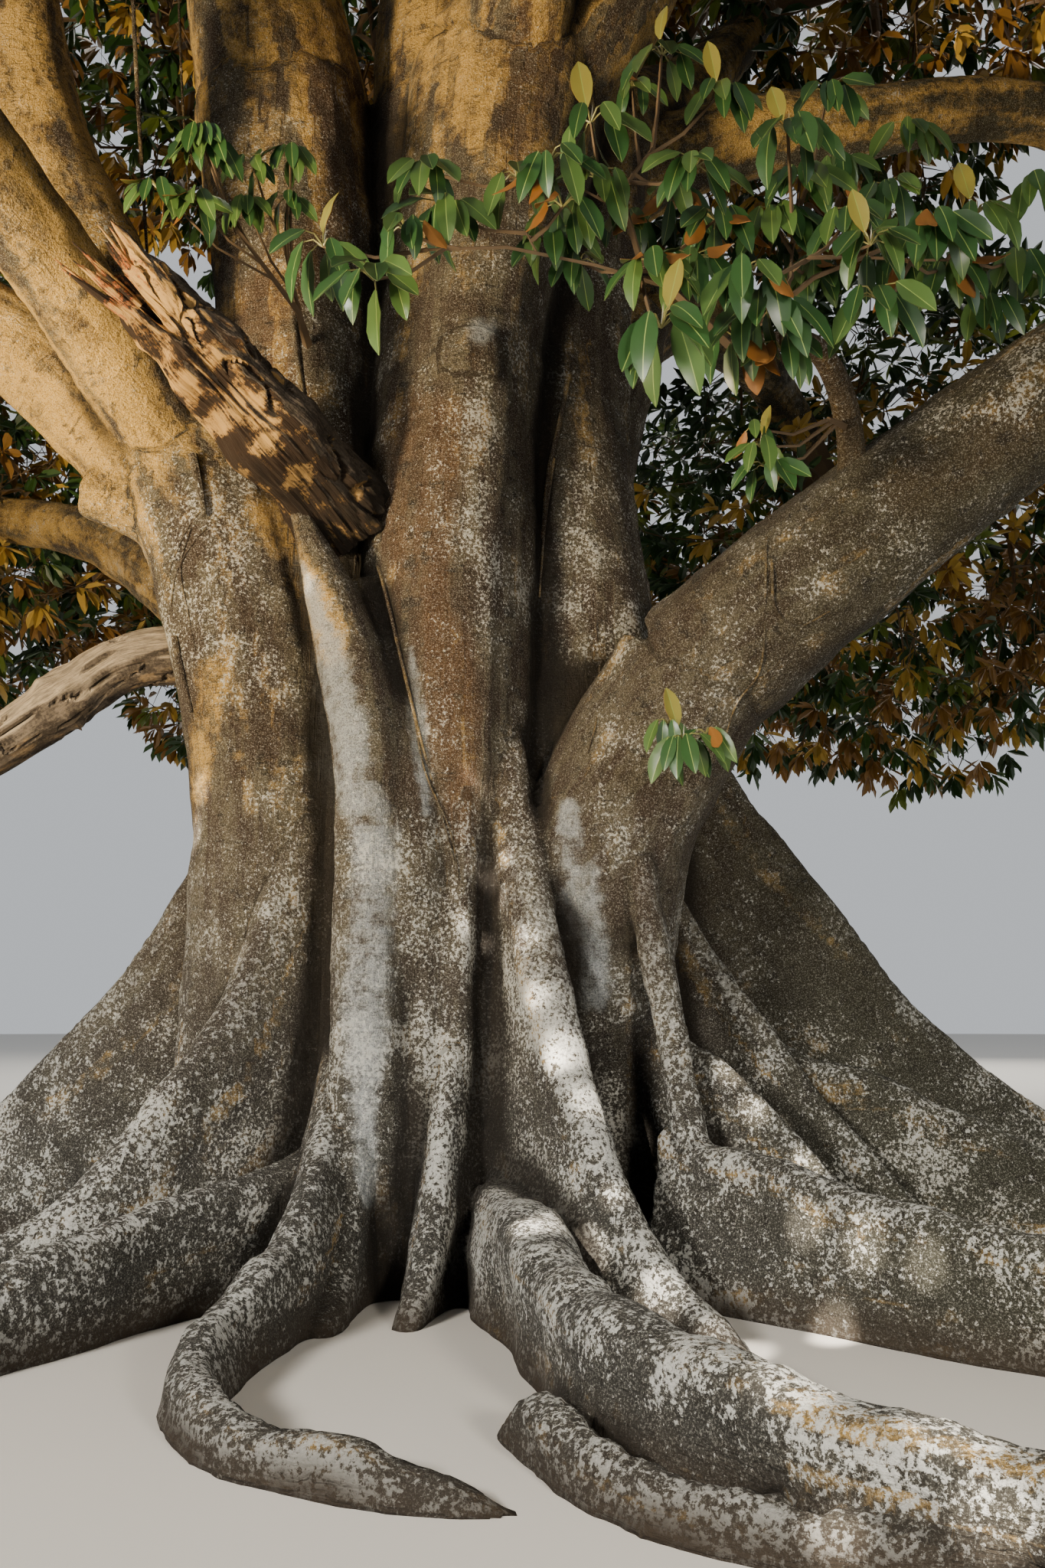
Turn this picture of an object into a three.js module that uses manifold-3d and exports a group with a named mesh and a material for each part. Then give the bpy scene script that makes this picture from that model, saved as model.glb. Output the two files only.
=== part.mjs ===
// A large banyan-type fig tree: a fluted trunk of fused stems standing on buttress roots, with big
// spreading boughs, a dead broken limb, leafy shoots low on the front, and a wide crown of leaf masses.
// Millimetres, +Z up. The origin is the middle of the flat cut at ground level; -Y is the tree's front.
import * as THREE from "three";
import { mergeVertices } from "three/addons/utils/BufferGeometryUtils.js";
import Module from "manifold-3d";

const wasm = await Module();
wasm.setup();

// Driving dimensions
const CROWN_TOP = 20400;
const JOINT_GAP = 0.3; // clear space between two pieces that meet
const CARVE_GAP = 0.25; // how far a carving copy stands proud of the piece it copies
const SINK = 300; // how far below ground the trunk is carried before its flat cut
const GROUND_BLOCK = 60000;

const bark = new THREE.MeshStandardMaterial({ color: 0x6f6558, roughness: 0.9, metalness: 0 });
const deadWood = new THREE.MeshStandardMaterial({ color: 0x6a4a2f, roughness: 0.95, metalness: 0 });
const leafGreen = new THREE.MeshStandardMaterial({ color: 0x3c5f34, roughness: 0.45, metalness: 0 });

const vector = (point) => new THREE.Vector3(...point);
const radians = THREE.MathUtils.degToRad;
const lerp = THREE.MathUtils.lerp;

// A repeatable stream of numbers from 0 to 1.
function randomFrom(seed) {
  let state = seed;
  return () => {
    state = (state * 48271) % 2147483647;
    return state / 2147483647;
  };
}

// One closed solid from a three.js geometry.
function solidOf(geometry) {
  const bare = geometry.clone();
  bare.deleteAttribute("normal");
  bare.deleteAttribute("uv");
  const merged = mergeVertices(bare, 1e-3);
  const mesh = new wasm.Mesh({
    numProp: 3,
    vertProperties: merged.attributes.position.array,
    triVerts: new Uint32Array(merged.index.array),
  });
  return new wasm.Manifold(mesh);
}

function geometryOf(solid) {
  const mesh = solid.getMesh();
  const geometry = new THREE.BufferGeometry();
  geometry.setAttribute("position", new THREE.BufferAttribute(mesh.vertProperties, 3));
  geometry.setIndex(new THREE.BufferAttribute(mesh.triVerts, 1));
  geometry.computeVertexNormals();
  return geometry;
}

// The largest of the bodies that a carving leaves.
function largestOf(solid) {
  return solid.decompose().reduce((best, body) => (body.volume() > best.volume() ? body : best));
}

// A loft: the rings of a cylinder set on a row of points, each square to its tangent and at its own radius,
// with soft flutes round it.
function loft({ points, tangents, radii, sides, flutes = 0, depth = 0, grow = 0 }) {
  const rings = points.length - 1;
  const geometry = new THREE.CylinderGeometry(1, 1, 1, sides, rings);
  const position = geometry.attributes.position;
  const across = new THREE.Vector3(-tangents[0].y, tangents[0].x, 0.3).cross(tangents[0]).normalize();
  const frames = tangents.map((tangent, i) => {
    if (i > 0) across.applyQuaternion(new THREE.Quaternion().setFromUnitVectors(tangents[i - 1], tangent));
    return { across: across.clone(), square: tangent.clone().cross(across) };
  });
  for (let i = 0; i < position.count; i++) {
    const ring = Math.round((position.getY(i) + 0.5) * rings);
    const x = position.getX(i);
    const z = position.getZ(i);
    const flute = 1 + depth * Math.cos(flutes * Math.atan2(z, x));
    const reach = Math.hypot(x, z) < 0.5 ? 0 : radii[ring] * flute + grow;
    const lengthen = ring === rings ? grow : ring === 0 ? -grow : 0;
    const at = points[ring].clone().addScaledVector(tangents[ring], lengthen);
    at.addScaledVector(frames[ring].across, x * reach);
    at.addScaledVector(frames[ring].square, -z * reach);
    position.setXYZ(i, at.x, at.y, at.z);
  }
  return solidOf(geometry);
}

// A limb: a loft along a curve through the points of its path. startTangent turns the first ring square
// to the piece that it grows on from.
function limb({ path, radii, rings = 6, startTangent, ...shape }) {
  const curve = new THREE.CatmullRomCurve3(path.map(vector));
  const profile = new THREE.SplineCurve(radii.map((r, i) => new THREE.Vector2(i, r)));
  const shares = Array.from({ length: rings + 1 }, (_, i) => i / rings);
  const tangents = shares.map((share) => curve.getTangentAt(share));
  if (startTangent) tangents[0].copy(startTangent);
  return loft({
    points: shares.map((share) => curve.getPointAt(share)),
    tangents,
    radii: shares.map((share) => profile.getPoint(share).y),
    ...shape,
  });
}

// Where a limb ends: its last point, the way it points there and its radius.
function endOf({ path, radii }) {
  const curve = new THREE.CatmullRomCurve3(path.map(vector));
  return { at: curve.getPointAt(1), tangent: curve.getTangentAt(1).normalize(), radius: radii.at(-1) };
}

// A root wall: it starts high in the trunk, runs out along the ground, may turn on the way, and sinks.
// Its height falls from rise to tip; a fall over 1 gives a hollow crest and under 1 a rounded knee.
function rootWall(shape) {
  const { from, heading, turn = 0, turnAt = 0.5, reach, rise, tip, fall = 2.8, crest, foot, grow = 0 } = shape;
  const STEPS = 8;
  const SIDES = 7;
  const TURN_SPAN = 0.28;
  const SWAY = 7;
  const geometry = new THREE.CylinderGeometry(1, 1, 1, SIDES, STEPS);
  const stations = [];
  const spot = new THREE.Vector2(...from);
  for (let i = 0; i <= STEPS; i++) {
    const share = i / STEPS;
    const bend = THREE.MathUtils.smoothstep(share, turnAt - TURN_SPAN, turnAt + TURN_SPAN);
    const facing = radians(heading + turn * bend + SWAY * Math.sin(share * 6 + heading));
    const sunk = share === 1 ? SINK * 0.6 : 0;
    const height = tip + (rise - tip) * Math.pow(1 - share, fall) - sunk;
    stations.push({ x: spot.x, y: spot.y, facing, height, share });
    spot.x += (Math.cos(facing) * reach) / STEPS;
    spot.y += (Math.sin(facing) * reach) / STEPS;
  }
  const position = geometry.attributes.position;
  for (let i = 0; i < position.count; i++) {
    const station = stations[Math.round((position.getY(i) + 0.5) * STEPS)];
    const x = position.getX(i);
    const z = position.getZ(i);
    const onAxis = Math.hypot(x, z) < 0.5;
    const upward = onAxis ? 0.5 : (1 + x) / 2;
    const slim = 1 - 0.45 * station.share;
    const flare = crest + (foot - crest) * Math.pow(1 - upward, 2);
    const side = onAxis ? 0 : Math.sign(z) * Math.sqrt(Math.abs(z)) * (flare * slim + grow);
    const level = -SINK + (station.height + grow + SINK) * upward;
    const left = station.facing + Math.PI / 2;
    position.setXYZ(i, station.x + Math.cos(left) * side, station.y + Math.sin(left) * side, level);
  }
  return solidOf(geometry);
}

// The stems that are fused into the trunk, by their centre lines and radii.
const STEMS = {
  left: {
    path: [
      [-950, -350, -SINK],
      [-1130, -430, 1500],
      [-1250, -520, 3000],
      [-1620, -600, 4700],
      [-2080, -640, 5750],
    ],
    radii: [900, 660, 520, 510, 480],
    flutes: 3,
    depth: 0.07,
  },
  leftLeader: {
    path: [[-750, -100, -SINK], [-860, -200, 3000], [-1080, -260, 6000], [-1420, -200, 8600]],
    radii: [850, 680, 620, 690],
    flutes: 2,
    depth: 0.06,
  },
  centreLeader: {
    path: [[-60, -500, -SINK], [-60, -680, 1800], [-20, -740, 3600], [50, -660, 6000], [400, -450, 8600]],
    radii: [900, 640, 620, 610, 780],
    flutes: 3,
    depth: 0.06,
  },
  rightLeader: {
    path: [[600, -150, -SINK], [800, -220, 3400], [690, -100, 6300], [1050, 150, 8700]],
    radii: [950, 750, 590, 520],
    flutes: 2,
    depth: 0.05,
  },
  rightShoulder: {
    path: [[750, -500, -SINK], [900, -780, 1600], [1060, -940, 2700], [1600, -1270, 3700]],
    radii: [800, 520, 540, 510],
    flutes: 2,
    depth: 0.06,
  },
  backLeft: {
    path: [[-500, 700, -SINK], [-600, 880, 3000], [-850, 1100, 5600], [-1250, 1500, 8000]],
    radii: [950, 680, 580, 540],
    flutes: 3,
    depth: 0.07,
  },
  backRight: {
    path: [[500, 750, -SINK], [600, 900, 3000], [800, 1080, 5600], [1300, 1500, 7800]],
    radii: [950, 680, 580, 540],
    flutes: 3,
    depth: 0.07,
  },
  core: {
    path: [[0, 0, -SINK], [-40, 60, 4000], [-80, 250, 8800]],
    radii: [1350, 1080, 700],
    sides: 12,
  },
};

// Slender ridges that stand out of the trunk's front: a pale sinew, three ribs and a broken knob.
const RIDGES = {
  sinew: {
    path: [
      [-880, -1080, 5050],
      [-700, -1290, 4200],
      [-470, -1370, 3100],
      [-430, -1400, 1800],
      [-380, -1480, -SINK],
    ],
    radii: [190, 210, 215, 240, 290],
  },
  thinRib: {
    path: [
      [1130, -1300, 3000],
      [1250, -1410, 2150],
      [1370, -1560, 1350],
      [1470, -1740, 650],
      [1560, -1950, -SINK],
    ],
    radii: [70, 95, 85, 100, 120],
  },
  innerRib: {
    path: [[-60, -1290, 2700], [-110, -1390, 1500], [-140, -1450, -SINK]],
    radii: [80, 115, 130],
  },
  cleftRib: {
    path: [[130, -1270, 3000], [90, -1360, 1500], [60, -1430, -SINK]],
    radii: [80, 110, 140],
  },
  brokenKnob: {
    path: [[-1750, -620, 4850], [-2250, -760, 5050], [-2560, -820, 5130]],
    radii: [260, 210, 160],
  },
};

// Root walls at the front and sides, named by where they run. from and heading say where a wall leaves the
// trunk's middle and which way, turn is how far it swings on its way, and the rest are its sizes.
const ROOTS = {
  farLeft: {
    from: [-900, 150], heading: 178, turn: 8, reach: 4700,
    rise: 5000, tip: 230, crest: 170, foot: 330,
  },
  leftFront: {
    from: [-800, -700], heading: 232, turn: -30, turnAt: 0.35, reach: 3700,
    rise: 3700, tip: 220, fall: 3.5, crest: 150, foot: 300,
  },
  leftLow: {
    from: [-700, -1200], heading: 243, turn: -26, turnAt: 0.6, reach: 3700,
    rise: 780, tip: 240, fall: 1.2, crest: 150, foot: 260,
  },
  leftSnake: {
    from: [-640, -1050], heading: 266, turn: 74, turnAt: 0.62, reach: 4400,
    rise: 1500, tip: 170, fall: 3.6, crest: 130, foot: 230,
  },
  cleftLeft: {
    from: [-300, -1150], heading: 262, reach: 1500,
    rise: 2100, tip: 60, fall: 2.2, crest: 110, foot: 200,
  },
  cleftRight: {
    from: [230, -1050], heading: 256, reach: 1500,
    rise: 2700, tip: 60, fall: 2, crest: 120, foot: 230,
  },
  centre: {
    from: [350, -950], heading: 299, reach: 2500,
    rise: 3900, tip: 120, fall: 2.1, crest: 190, foot: 360,
  },
  frontSnake: {
    from: [400, -1500], heading: 272, turn: 66, turnAt: 0.36, reach: 6800,
    rise: 620, tip: 210, crest: 210, foot: 330, fall: 1,
  },
  frontOffshoot: {
    from: [420, -3700], heading: 284, turn: 62, turnAt: 0.4, reach: 2500,
    rise: 230, tip: 90, fall: 1, crest: 110, foot: 150,
  },
  cornerOffshoot: {
    from: [3300, -4900], heading: 196, turn: 12, reach: 1900,
    rise: 260, tip: 70, fall: 1, crest: 120, foot: 170,
  },
  rightSnake: {
    from: [1350, -1550], heading: 308, turn: 26, reach: 4300,
    rise: 900, tip: 260, fall: 1.2, crest: 170, foot: 280,
  },
  rightKnee: {
    from: [1150, -850], heading: 318, reach: 1750,
    rise: 1750, tip: 40, fall: 0.6, crest: 130, foot: 240,
  },
  rightPlate: {
    from: [950, -450], heading: 341, turn: -14, reach: 2800,
    rise: 3700, tip: 130, fall: 1.8, crest: 120, foot: 260,
  },
  rightLobe: {
    from: [1800, -430], heading: 349, turn: -22, reach: 2500,
    rise: 1500, tip: 40, fall: 0.5, crest: 190, foot: 330,
  },
  farRight: {
    from: [900, 250], heading: 4, turn: 6, reach: 6000,
    rise: 5400, tip: 200, fall: 2.4, crest: 150, foot: 340,
  },
};

// The back of the tree carries the same kind of wall, set round it by a seeded rule.
function backRoots() {
  const random = randomFrom(4211);
  const HEADINGS = [32, 58, 84, 109, 133, 157];
  return HEADINGS.map((heading, i) => {
    const low = i % 3 === 1;
    return {
      from: [Math.cos(radians(heading)) * 900, Math.sin(radians(heading)) * 900],
      heading: heading + 10 * (random() - 0.5),
      turn: 50 * (random() - 0.5),
      turnAt: 0.5 + 0.1 * random(),
      reach: low ? 3300 : 3900 + 1300 * random(),
      rise: low ? 1500 : 3600 + 1300 * random(),
      tip: 190,
      fall: low ? 1.4 : 2.6,
      crest: 140 + 40 * random(),
      foot: 290 + 60 * random(),
    };
  });
}

function groundBlock() {
  const box = new THREE.BoxGeometry(GROUND_BLOCK, GROUND_BLOCK, GROUND_BLOCK / 10);
  return solidOf(box.translate(0, 0, -GROUND_BLOCK / 20));
}

// A burl: a low swelling on the bark.
function burl(grow) {
  const ball = new THREE.IcosahedronGeometry(1, 1);
  return solidOf(ball.scale(210 + grow, 130 + grow, 230 + grow).translate(150, -1230, 5900));
}

function trunkSolid(grow) {
  const stems = Object.values(STEMS).map((stem) => limb({ sides: 11, rings: 8, ...stem, grow }));
  const ridges = Object.values(RIDGES).map((ridge) => limb({ sides: 6, rings: 7, ...ridge, grow }));
  const walls = [...Object.values(ROOTS), ...backRoots()].map((root) => rootWall({ ...root, grow }));
  const whole = wasm.Manifold.union([...stems, ...ridges, ...walls, burl(grow)]);
  return largestOf(whole.subtract(groundBlock()));
}

// Crown masses: an outer ring, an upper ring and the top, each in its own egg-shaped space.
const OUTER = { count: 8, first: -35, distance: 10500, height: 8300, space: [3950, 3950, 3500] };
const UPPER = { count: 5, first: -26, distance: 5750, height: 14200, space: [3300, 3300, 2750] };
const TOP = { height: CROWN_TOP - 2500, space: [3500, 3500, 2500] };

function ringCentre(ring, i) {
  const angle = radians(ring.first + (360 / ring.count) * i);
  return [Math.cos(angle) * ring.distance, Math.sin(angle) * ring.distance, ring.height];
}

// Each live bough grows on from a stem's top, or out of the trunk's side, and ends inside its mass.
// mass is the ring and the number of the mass that it feeds; via is where it passes on the way.
const BOUGHS = {
  bough_right: {
    stem: "rightShoulder",
    via: [[2330, -1760, 4220], [3450, -2380, 4950], [5000, -3200, 5800]],
    mass: ["OUTER", 0],
    root: 500,
    tip: 220,
  },
  bough_upper_right: {
    out: [800, 250, 8000],
    via: [[2000, 500, 8900], [3600, 700, 9350], [5000, 950, 9650]],
    mass: ["OUTER", 1],
    root: 380,
    tip: 210,
  },
  bough_back_right: {
    stem: "backRight",
    via: [[2200, 3000, 8900], [3300, 4600, 9200]],
    mass: ["OUTER", 2],
    root: 530,
    tip: 220,
  },
  bough_back: {
    out: [-100, 900, 4900],
    via: [[-350, 2700, 5800], [-800, 4700, 6900]],
    mass: ["OUTER", 3],
    root: 480,
    tip: 220,
  },
  bough_back_left: {
    out: [-750, 800, 4200],
    via: [[-2300, 2100, 5200], [-4000, 3300, 6500]],
    mass: ["OUTER", 4],
    root: 470,
    tip: 220,
  },
  bough_left_low: {
    out: [-1750, -620, 5000],
    via: [[-2700, -680, 5900], [-3500, -760, 6500], [-5100, -1000, 7200]],
    mass: ["OUTER", 5],
    root: 400,
    tip: 220,
  },
  bough_front_left: {
    out: [-1900, -640, 5400],
    via: [[-2700, -2000, 6500], [-3500, -4000, 7400]],
    mass: ["OUTER", 6],
    root: 330,
    tip: 200,
  },
  bough_front: {
    out: [350, -400, 8200],
    via: [[650, -1900, 9300], [1100, -4200, 9700]],
    mass: ["OUTER", 7],
    root: 420,
    tip: 210,
  },
  bough_left_high: {
    stem: "left",
    via: [[-2700, -690, 6950], [-3180, -750, 8150], [-3500, -850, 9700]],
    mass: ["UPPER", 3],
    root: 470,
    tip: 210,
  },
  leader_left: { stem: "leftLeader", via: [[-1650, -900, 10200]], mass: ["UPPER", 4], root: 670, tip: 230 },
  leader_centre: {
    stem: "centreLeader", via: [[1500, -900, 10000]],
    mass: ["UPPER", 0], root: 760, tip: 230,
  },
  leader_right: { stem: "rightLeader", via: [[2000, 1500, 10200]], mass: ["UPPER", 1], root: 510, tip: 220 },
  leader_back: { stem: "backLeft", via: [[-1700, 2800, 9800]], mass: ["UPPER", 2], root: 530, tip: 220 },
  leader_top: {
    stem: "core", via: [[-150, 300, 11000], [0, 100, 13500]],
    mass: ["TOP", 0], root: 680, tip: 240,
  },
};

// The centre and half sizes of a mass.
function spaceOf([level, number]) {
  if (level === "TOP") return { centre: [0, 0, TOP.height], space: TOP.space };
  const ring = level === "OUTER" ? OUTER : UPPER;
  return { centre: ringCentre(ring, number), space: ring.space };
}

// Where the line from a point to a mass's centre comes a little way inside the mass.
function entryPoint(from, { centre, space }) {
  const ENTRY = 0.86;
  const away = vector(from).sub(vector(centre));
  const stretch = Math.hypot(away.x / space[0], away.y / space[1], away.z / space[2]);
  return vector(centre).addScaledVector(away, ENTRY / stretch).toArray();
}

function boughShape({ stem, out, mass, via, root, tip }) {
  const carrier = stem && endOf(STEMS[stem]);
  const first = carrier ? carrier.at.addScaledVector(carrier.tangent, JOINT_GAP).toArray() : out;
  return {
    path: [first, ...via, entryPoint(via.at(-1), spaceOf(mass))],
    radii: [root, lerp(root, tip, 0.38), lerp(root, tip, 0.72), tip],
    startTangent: carrier?.tangent,
    sides: 8,
  };
}

// Dead wood, and the slender branch that carries the low leafy shoots.
const BROKEN_LIMB = {
  path: [[-700, -950, 4830], [-1050, -1500, 5150], [-1560, -2000, 5560], [-2060, -2420, 5950]],
  radii: [350, 300, 260, 220],
  sides: 8,
};
const DEAD_LIMB = {
  path: [
    [-1500, -450, 4050],
    [-2250, -560, 3980],
    [-2750, -640, 3600],
    [-3400, -720, 3150],
    [-4300, -850, 2850],
  ],
  radii: [190, 180, 165, 150, 120],
  sides: 7,
};
const SHOOT_BRANCH = {
  path: [[2450, -1950, 4350], [2380, -2300, 4850], [2050, -2900, 5000], [1600, -3300, 4780]],
  radii: [85, 75, 60, 45],
  sides: 6,
};

const trunk = trunkSolid(0);
// Slightly swollen copies of the trunk and the limbs, which every later piece keeps clear of.
const wood = [trunkSolid(CARVE_GAP)];
const limbs = [];

// Cuts a limb clear of the trunk and of the limbs made before it.
function addLimb(name, shape, material) {
  const solid = wood.reduce((rest, piece) => rest.subtract(piece), limb(shape));
  wood.push(limb({ ...shape, grow: CARVE_GAP }));
  limbs.push({ name, end: endOf(shape), material, solid: largestOf(solid) });
}
for (const [name, bough] of Object.entries(BOUGHS)) addLimb(name, boughShape(bough), bark);
addLimb("broken_limb", BROKEN_LIMB, deadWood);
addLimb("dead_limb", DEAD_LIMB, deadWood);
addLimb("shoot_branch", SHOOT_BRANCH, bark);

function boxesMeet(a, b) {
  return [0, 1, 2].every((axis) => a.min[axis] < b.max[axis] && b.min[axis] < a.max[axis]);
}

function touchesWood(solid) {
  const box = solid.boundingBox();
  return wood.some((piece) => boxesMeet(box, piece.boundingBox()) && !solid.intersect(piece).isEmpty());
}

// A twig: a tapering loft with straight stretches between its points.
function twig({ points, radii }, sides = 3) {
  const tangents = points.map((point, i) => {
    const before = points[Math.max(i - 1, 0)];
    const after = points[Math.min(i + 1, points.length - 1)];
    return after.clone().sub(before).normalize();
  });
  return loft({ points, tangents, radii, sides });
}

// A leaf that stands for a spray: a flat eight-faced blade, widest past its middle.
function leafBlade(from, to, roll) {
  const WIDTH = 0.46;
  const THICKNESS = 0.035;
  const along = to.clone().sub(from);
  const length = along.length();
  const geometry = new THREE.OctahedronGeometry(0.5, 0);
  geometry.scale(length, length * WIDTH, length * THICKNESS);
  geometry.translate(length / 2, 0, 0);
  const position = geometry.attributes.position;
  for (let i = 0; i < position.count; i++)
    if (Math.abs(position.getX(i) - length / 2) < 1) position.setX(i, length * 0.6);
  const forward = along.normalize();
  const side = new THREE.Vector3(0, 0, 1).cross(forward).normalize().applyAxisAngle(forward, roll);
  const up = forward.clone().cross(side);
  geometry.applyMatrix4(new THREE.Matrix4().makeBasis(forward, side, up));
  return solidOf(geometry.translate(from.x, from.y, from.z));
}

// Spray places spread evenly over a mass's space, most on its outside and every fourth further in.
function sprayPlaces({ centre, space }, count, random) {
  const GOLDEN = Math.PI * (3 - Math.sqrt(5));
  return Array.from({ length: count }, (_, i) => {
    const up = 1 - (2 * i + 1) / count;
    const round = i * GOLDEN + 0.5 * random();
    const depth = i % 4 === 3 ? 0.62 : 0.97;
    const flat = Math.sqrt(1 - up * up);
    const unit = new THREE.Vector3(Math.cos(round) * flat, Math.sin(round) * flat, up);
    return unit.multiplyScalar(depth).multiply(vector(space)).add(vector(centre));
  });
}

function middleOf(places) {
  return places.reduce((sum, p) => sum.add(p), new THREE.Vector3()).divideScalar(places.length);
}

// Splits places in two across the direction in which they spread furthest.
function splitPlaces(places) {
  const box = new THREE.Box3().setFromPoints(places);
  const size = box.getSize(new THREE.Vector3()).toArray();
  const axis = size.indexOf(Math.max(...size));
  const sorted = [...places].sort((a, b) => a.getComponent(axis) - b.getComponent(axis));
  const half = Math.ceil(sorted.length / 2);
  return [sorted.slice(0, half), sorted.slice(half)];
}

// The rule of growth: a twig feeds a set of places. While they are many the set is split in two. The twig
// grows on towards the half that lies ahead, and a side twig leaves it a little way back for the other.
// When few are left a leaf goes to each, one from the tip and the rest from steps back along the twig.
function growFrom(shoot, places, parts, rule, random) {
  const [before, tip] = shoot.points.slice(-2);
  const ahead = tip.clone().sub(before).normalize();
  const lead = (place) => place.clone().sub(tip).normalize().dot(ahead);
  const rootAt = (step) => tip.clone().lerp(before, ROOT_INSET + step);
  if (places.length <= rule.perFork) {
    parts.push(twig(shoot, shoot.sides));
    [...places].sort((a, b) => lead(b) - lead(a)).forEach((place, i) => {
      const leaf = leafBlade(rootAt(rule.leafStep * i), place, LEAF_ROLL * (random() - 0.5));
      if (!touchesWood(leaf)) parts.push(leaf);
    });
    return;
  }
  const [main, side] = splitPlaces(places).sort((a, b) => lead(middleOf(b)) - lead(middleOf(a)));
  const thick = (group) => rule.twigRadius * Math.sqrt(group.length / rule.count);
  const onward = tip.clone().lerp(middleOf(main), rule.stride);
  const longer = { ...shoot, points: [...shoot.points, onward], radii: [...shoot.radii, thick(main)] };
  growFrom(longer, main, parts, rule, random);
  const root = rootAt(rule.forkStep);
  const points = [root, root.clone().lerp(middleOf(side), rule.stride)];
  const sideShoot = { points, radii: [thick(side), thick(side) * TWIG_TAPER] };
  if (!touchesWood(twig(sideShoot))) growFrom(sideShoot, side, parts, rule, random);
}

function foliage(carrier, space, rule) {
  const random = randomFrom(rule.seed);
  const from = carrier.at.clone().addScaledVector(carrier.tangent, JOINT_GAP);
  const to = from.clone().addScaledVector(carrier.tangent, rule.stemLength);
  const stem = { points: [from, to], radii: [carrier.radius, rule.twigRadius], sides: rule.sides };
  const parts = [];
  growFrom(stem, sprayPlaces(space, rule.count, random), parts, rule, random);
  return largestOf(wasm.Manifold.union(parts));
}

const ROOT_INSET = 0.04; // how far inside a twig's tip its last leaf is rooted, as a share of the twig
const LEAF_ROLL = 0.8;
const TWIG_TAPER = 0.72;
const CROWN_RULE = {
  count: 18,
  perFork: 5,
  stride: 0.6,
  forkStep: 0.3,
  leafStep: 0.19,
  twigRadius: 130,
  stemLength: 900,
  sides: 5,
};
const LOW_RULE = { ...CROWN_RULE, twigRadius: 26, stemLength: 150, sides: 4 };

// Where a line from outside meets the trunk: the seat of a stem that grows straight out of the bark.
function seatOnTrunk(from, toward, radius) {
  const target = new THREE.Mesh(geometryOf(trunk));
  const [hit] = new THREE.Raycaster(vector(from), vector(toward)).intersectObject(target);
  return { at: hit.point, tangent: hit.face.normal, radius };
}

const masses = Object.entries(BOUGHS).map(([name, { mass }], i) => {
  const { end } = limbs.find((entry) => entry.name === name);
  const solid = foliage(end, spaceOf(mass), { ...CROWN_RULE, seed: 101 + 7 * i });
  return { name: `crown_${mass[0].toLowerCase()}_${mass[1] + 1}`, solid };
});

// The low shoots at the front: one on the slender branch, one on the left leader, a sprig on the shoulder.
const LOW_SHOOTS = {
  shoot_front: {
    carrier: limbs.at(-1).end,
    centre: [1150, -3750, 4950],
    space: [1700, 600, 1050],
    rule: { count: 15, seed: 31 },
  },
  shoot_left: {
    carrier: seatOnTrunk([-1030, -2000, 6150], [0, 1, 0], 40),
    centre: [-1230, -1750, 6350],
    space: [650, 520, 480],
    rule: { count: 10, seed: 47 },
  },
  shoot_sprig: {
    carrier: seatOnTrunk([1420, -3000, 3130], [0, 1, 0], 22),
    centre: [1430, -2080, 3060],
    space: [270, 240, 330],
    rule: { count: 5, seed: 53, twigRadius: 12, stemLength: 40 },
  },
};
for (const [name, { carrier, rule, ...space }] of Object.entries(LOW_SHOOTS))
  masses.push({ name, solid: foliage(carrier, space, { ...LOW_RULE, ...rule }) });

const tree = new THREE.Group();
function addPart(name, solid, material) {
  const mesh = new THREE.Mesh(geometryOf(solid), material);
  mesh.name = name;
  tree.add(mesh);
}
addPart("trunk", trunk, bark);
for (const { name, solid, material } of limbs) addPart(name, solid, material);
for (const { name, solid } of masses) addPart(name, solid, leafGreen);

export default tree;
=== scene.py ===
# %% [markdown]
# # An old banyan fig, from the ground up
#
# This lesson dresses a big fig tree: a trunk made of many fused stems, buttress roots that stand like
# walls, boughs as thick as other trees, two dead limbs, a few leafy shoots near the eye and a wide crown.
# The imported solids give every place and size. The script starts by loading them as a fixed frame, and
# notes their box, because nothing that is added later may grow out of it.

# %% The frame
import math

import bmesh
import bpy
import numpy as np
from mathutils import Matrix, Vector, noise
from mathutils.bvhtree import BVHTree


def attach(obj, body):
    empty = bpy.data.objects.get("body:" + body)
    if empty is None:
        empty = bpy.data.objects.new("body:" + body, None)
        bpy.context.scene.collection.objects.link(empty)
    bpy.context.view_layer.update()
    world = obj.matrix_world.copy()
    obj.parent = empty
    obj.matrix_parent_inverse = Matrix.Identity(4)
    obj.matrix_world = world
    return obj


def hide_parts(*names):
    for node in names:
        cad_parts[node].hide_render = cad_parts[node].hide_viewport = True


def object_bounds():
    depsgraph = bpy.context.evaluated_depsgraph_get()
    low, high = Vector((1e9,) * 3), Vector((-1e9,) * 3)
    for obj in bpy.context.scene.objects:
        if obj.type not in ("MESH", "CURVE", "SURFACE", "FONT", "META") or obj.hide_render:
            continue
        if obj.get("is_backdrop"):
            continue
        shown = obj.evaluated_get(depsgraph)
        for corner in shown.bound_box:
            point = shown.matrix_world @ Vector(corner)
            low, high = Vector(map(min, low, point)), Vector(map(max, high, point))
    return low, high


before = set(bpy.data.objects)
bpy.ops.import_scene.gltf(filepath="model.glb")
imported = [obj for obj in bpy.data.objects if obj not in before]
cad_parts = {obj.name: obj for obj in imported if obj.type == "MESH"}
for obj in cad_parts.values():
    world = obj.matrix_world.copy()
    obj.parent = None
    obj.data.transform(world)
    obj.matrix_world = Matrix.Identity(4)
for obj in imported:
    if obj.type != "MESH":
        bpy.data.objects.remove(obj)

cad_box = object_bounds()
print(len(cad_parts), "nodes in a box", [[round(x, 2) for x in corner] for corner in cad_box])

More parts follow.
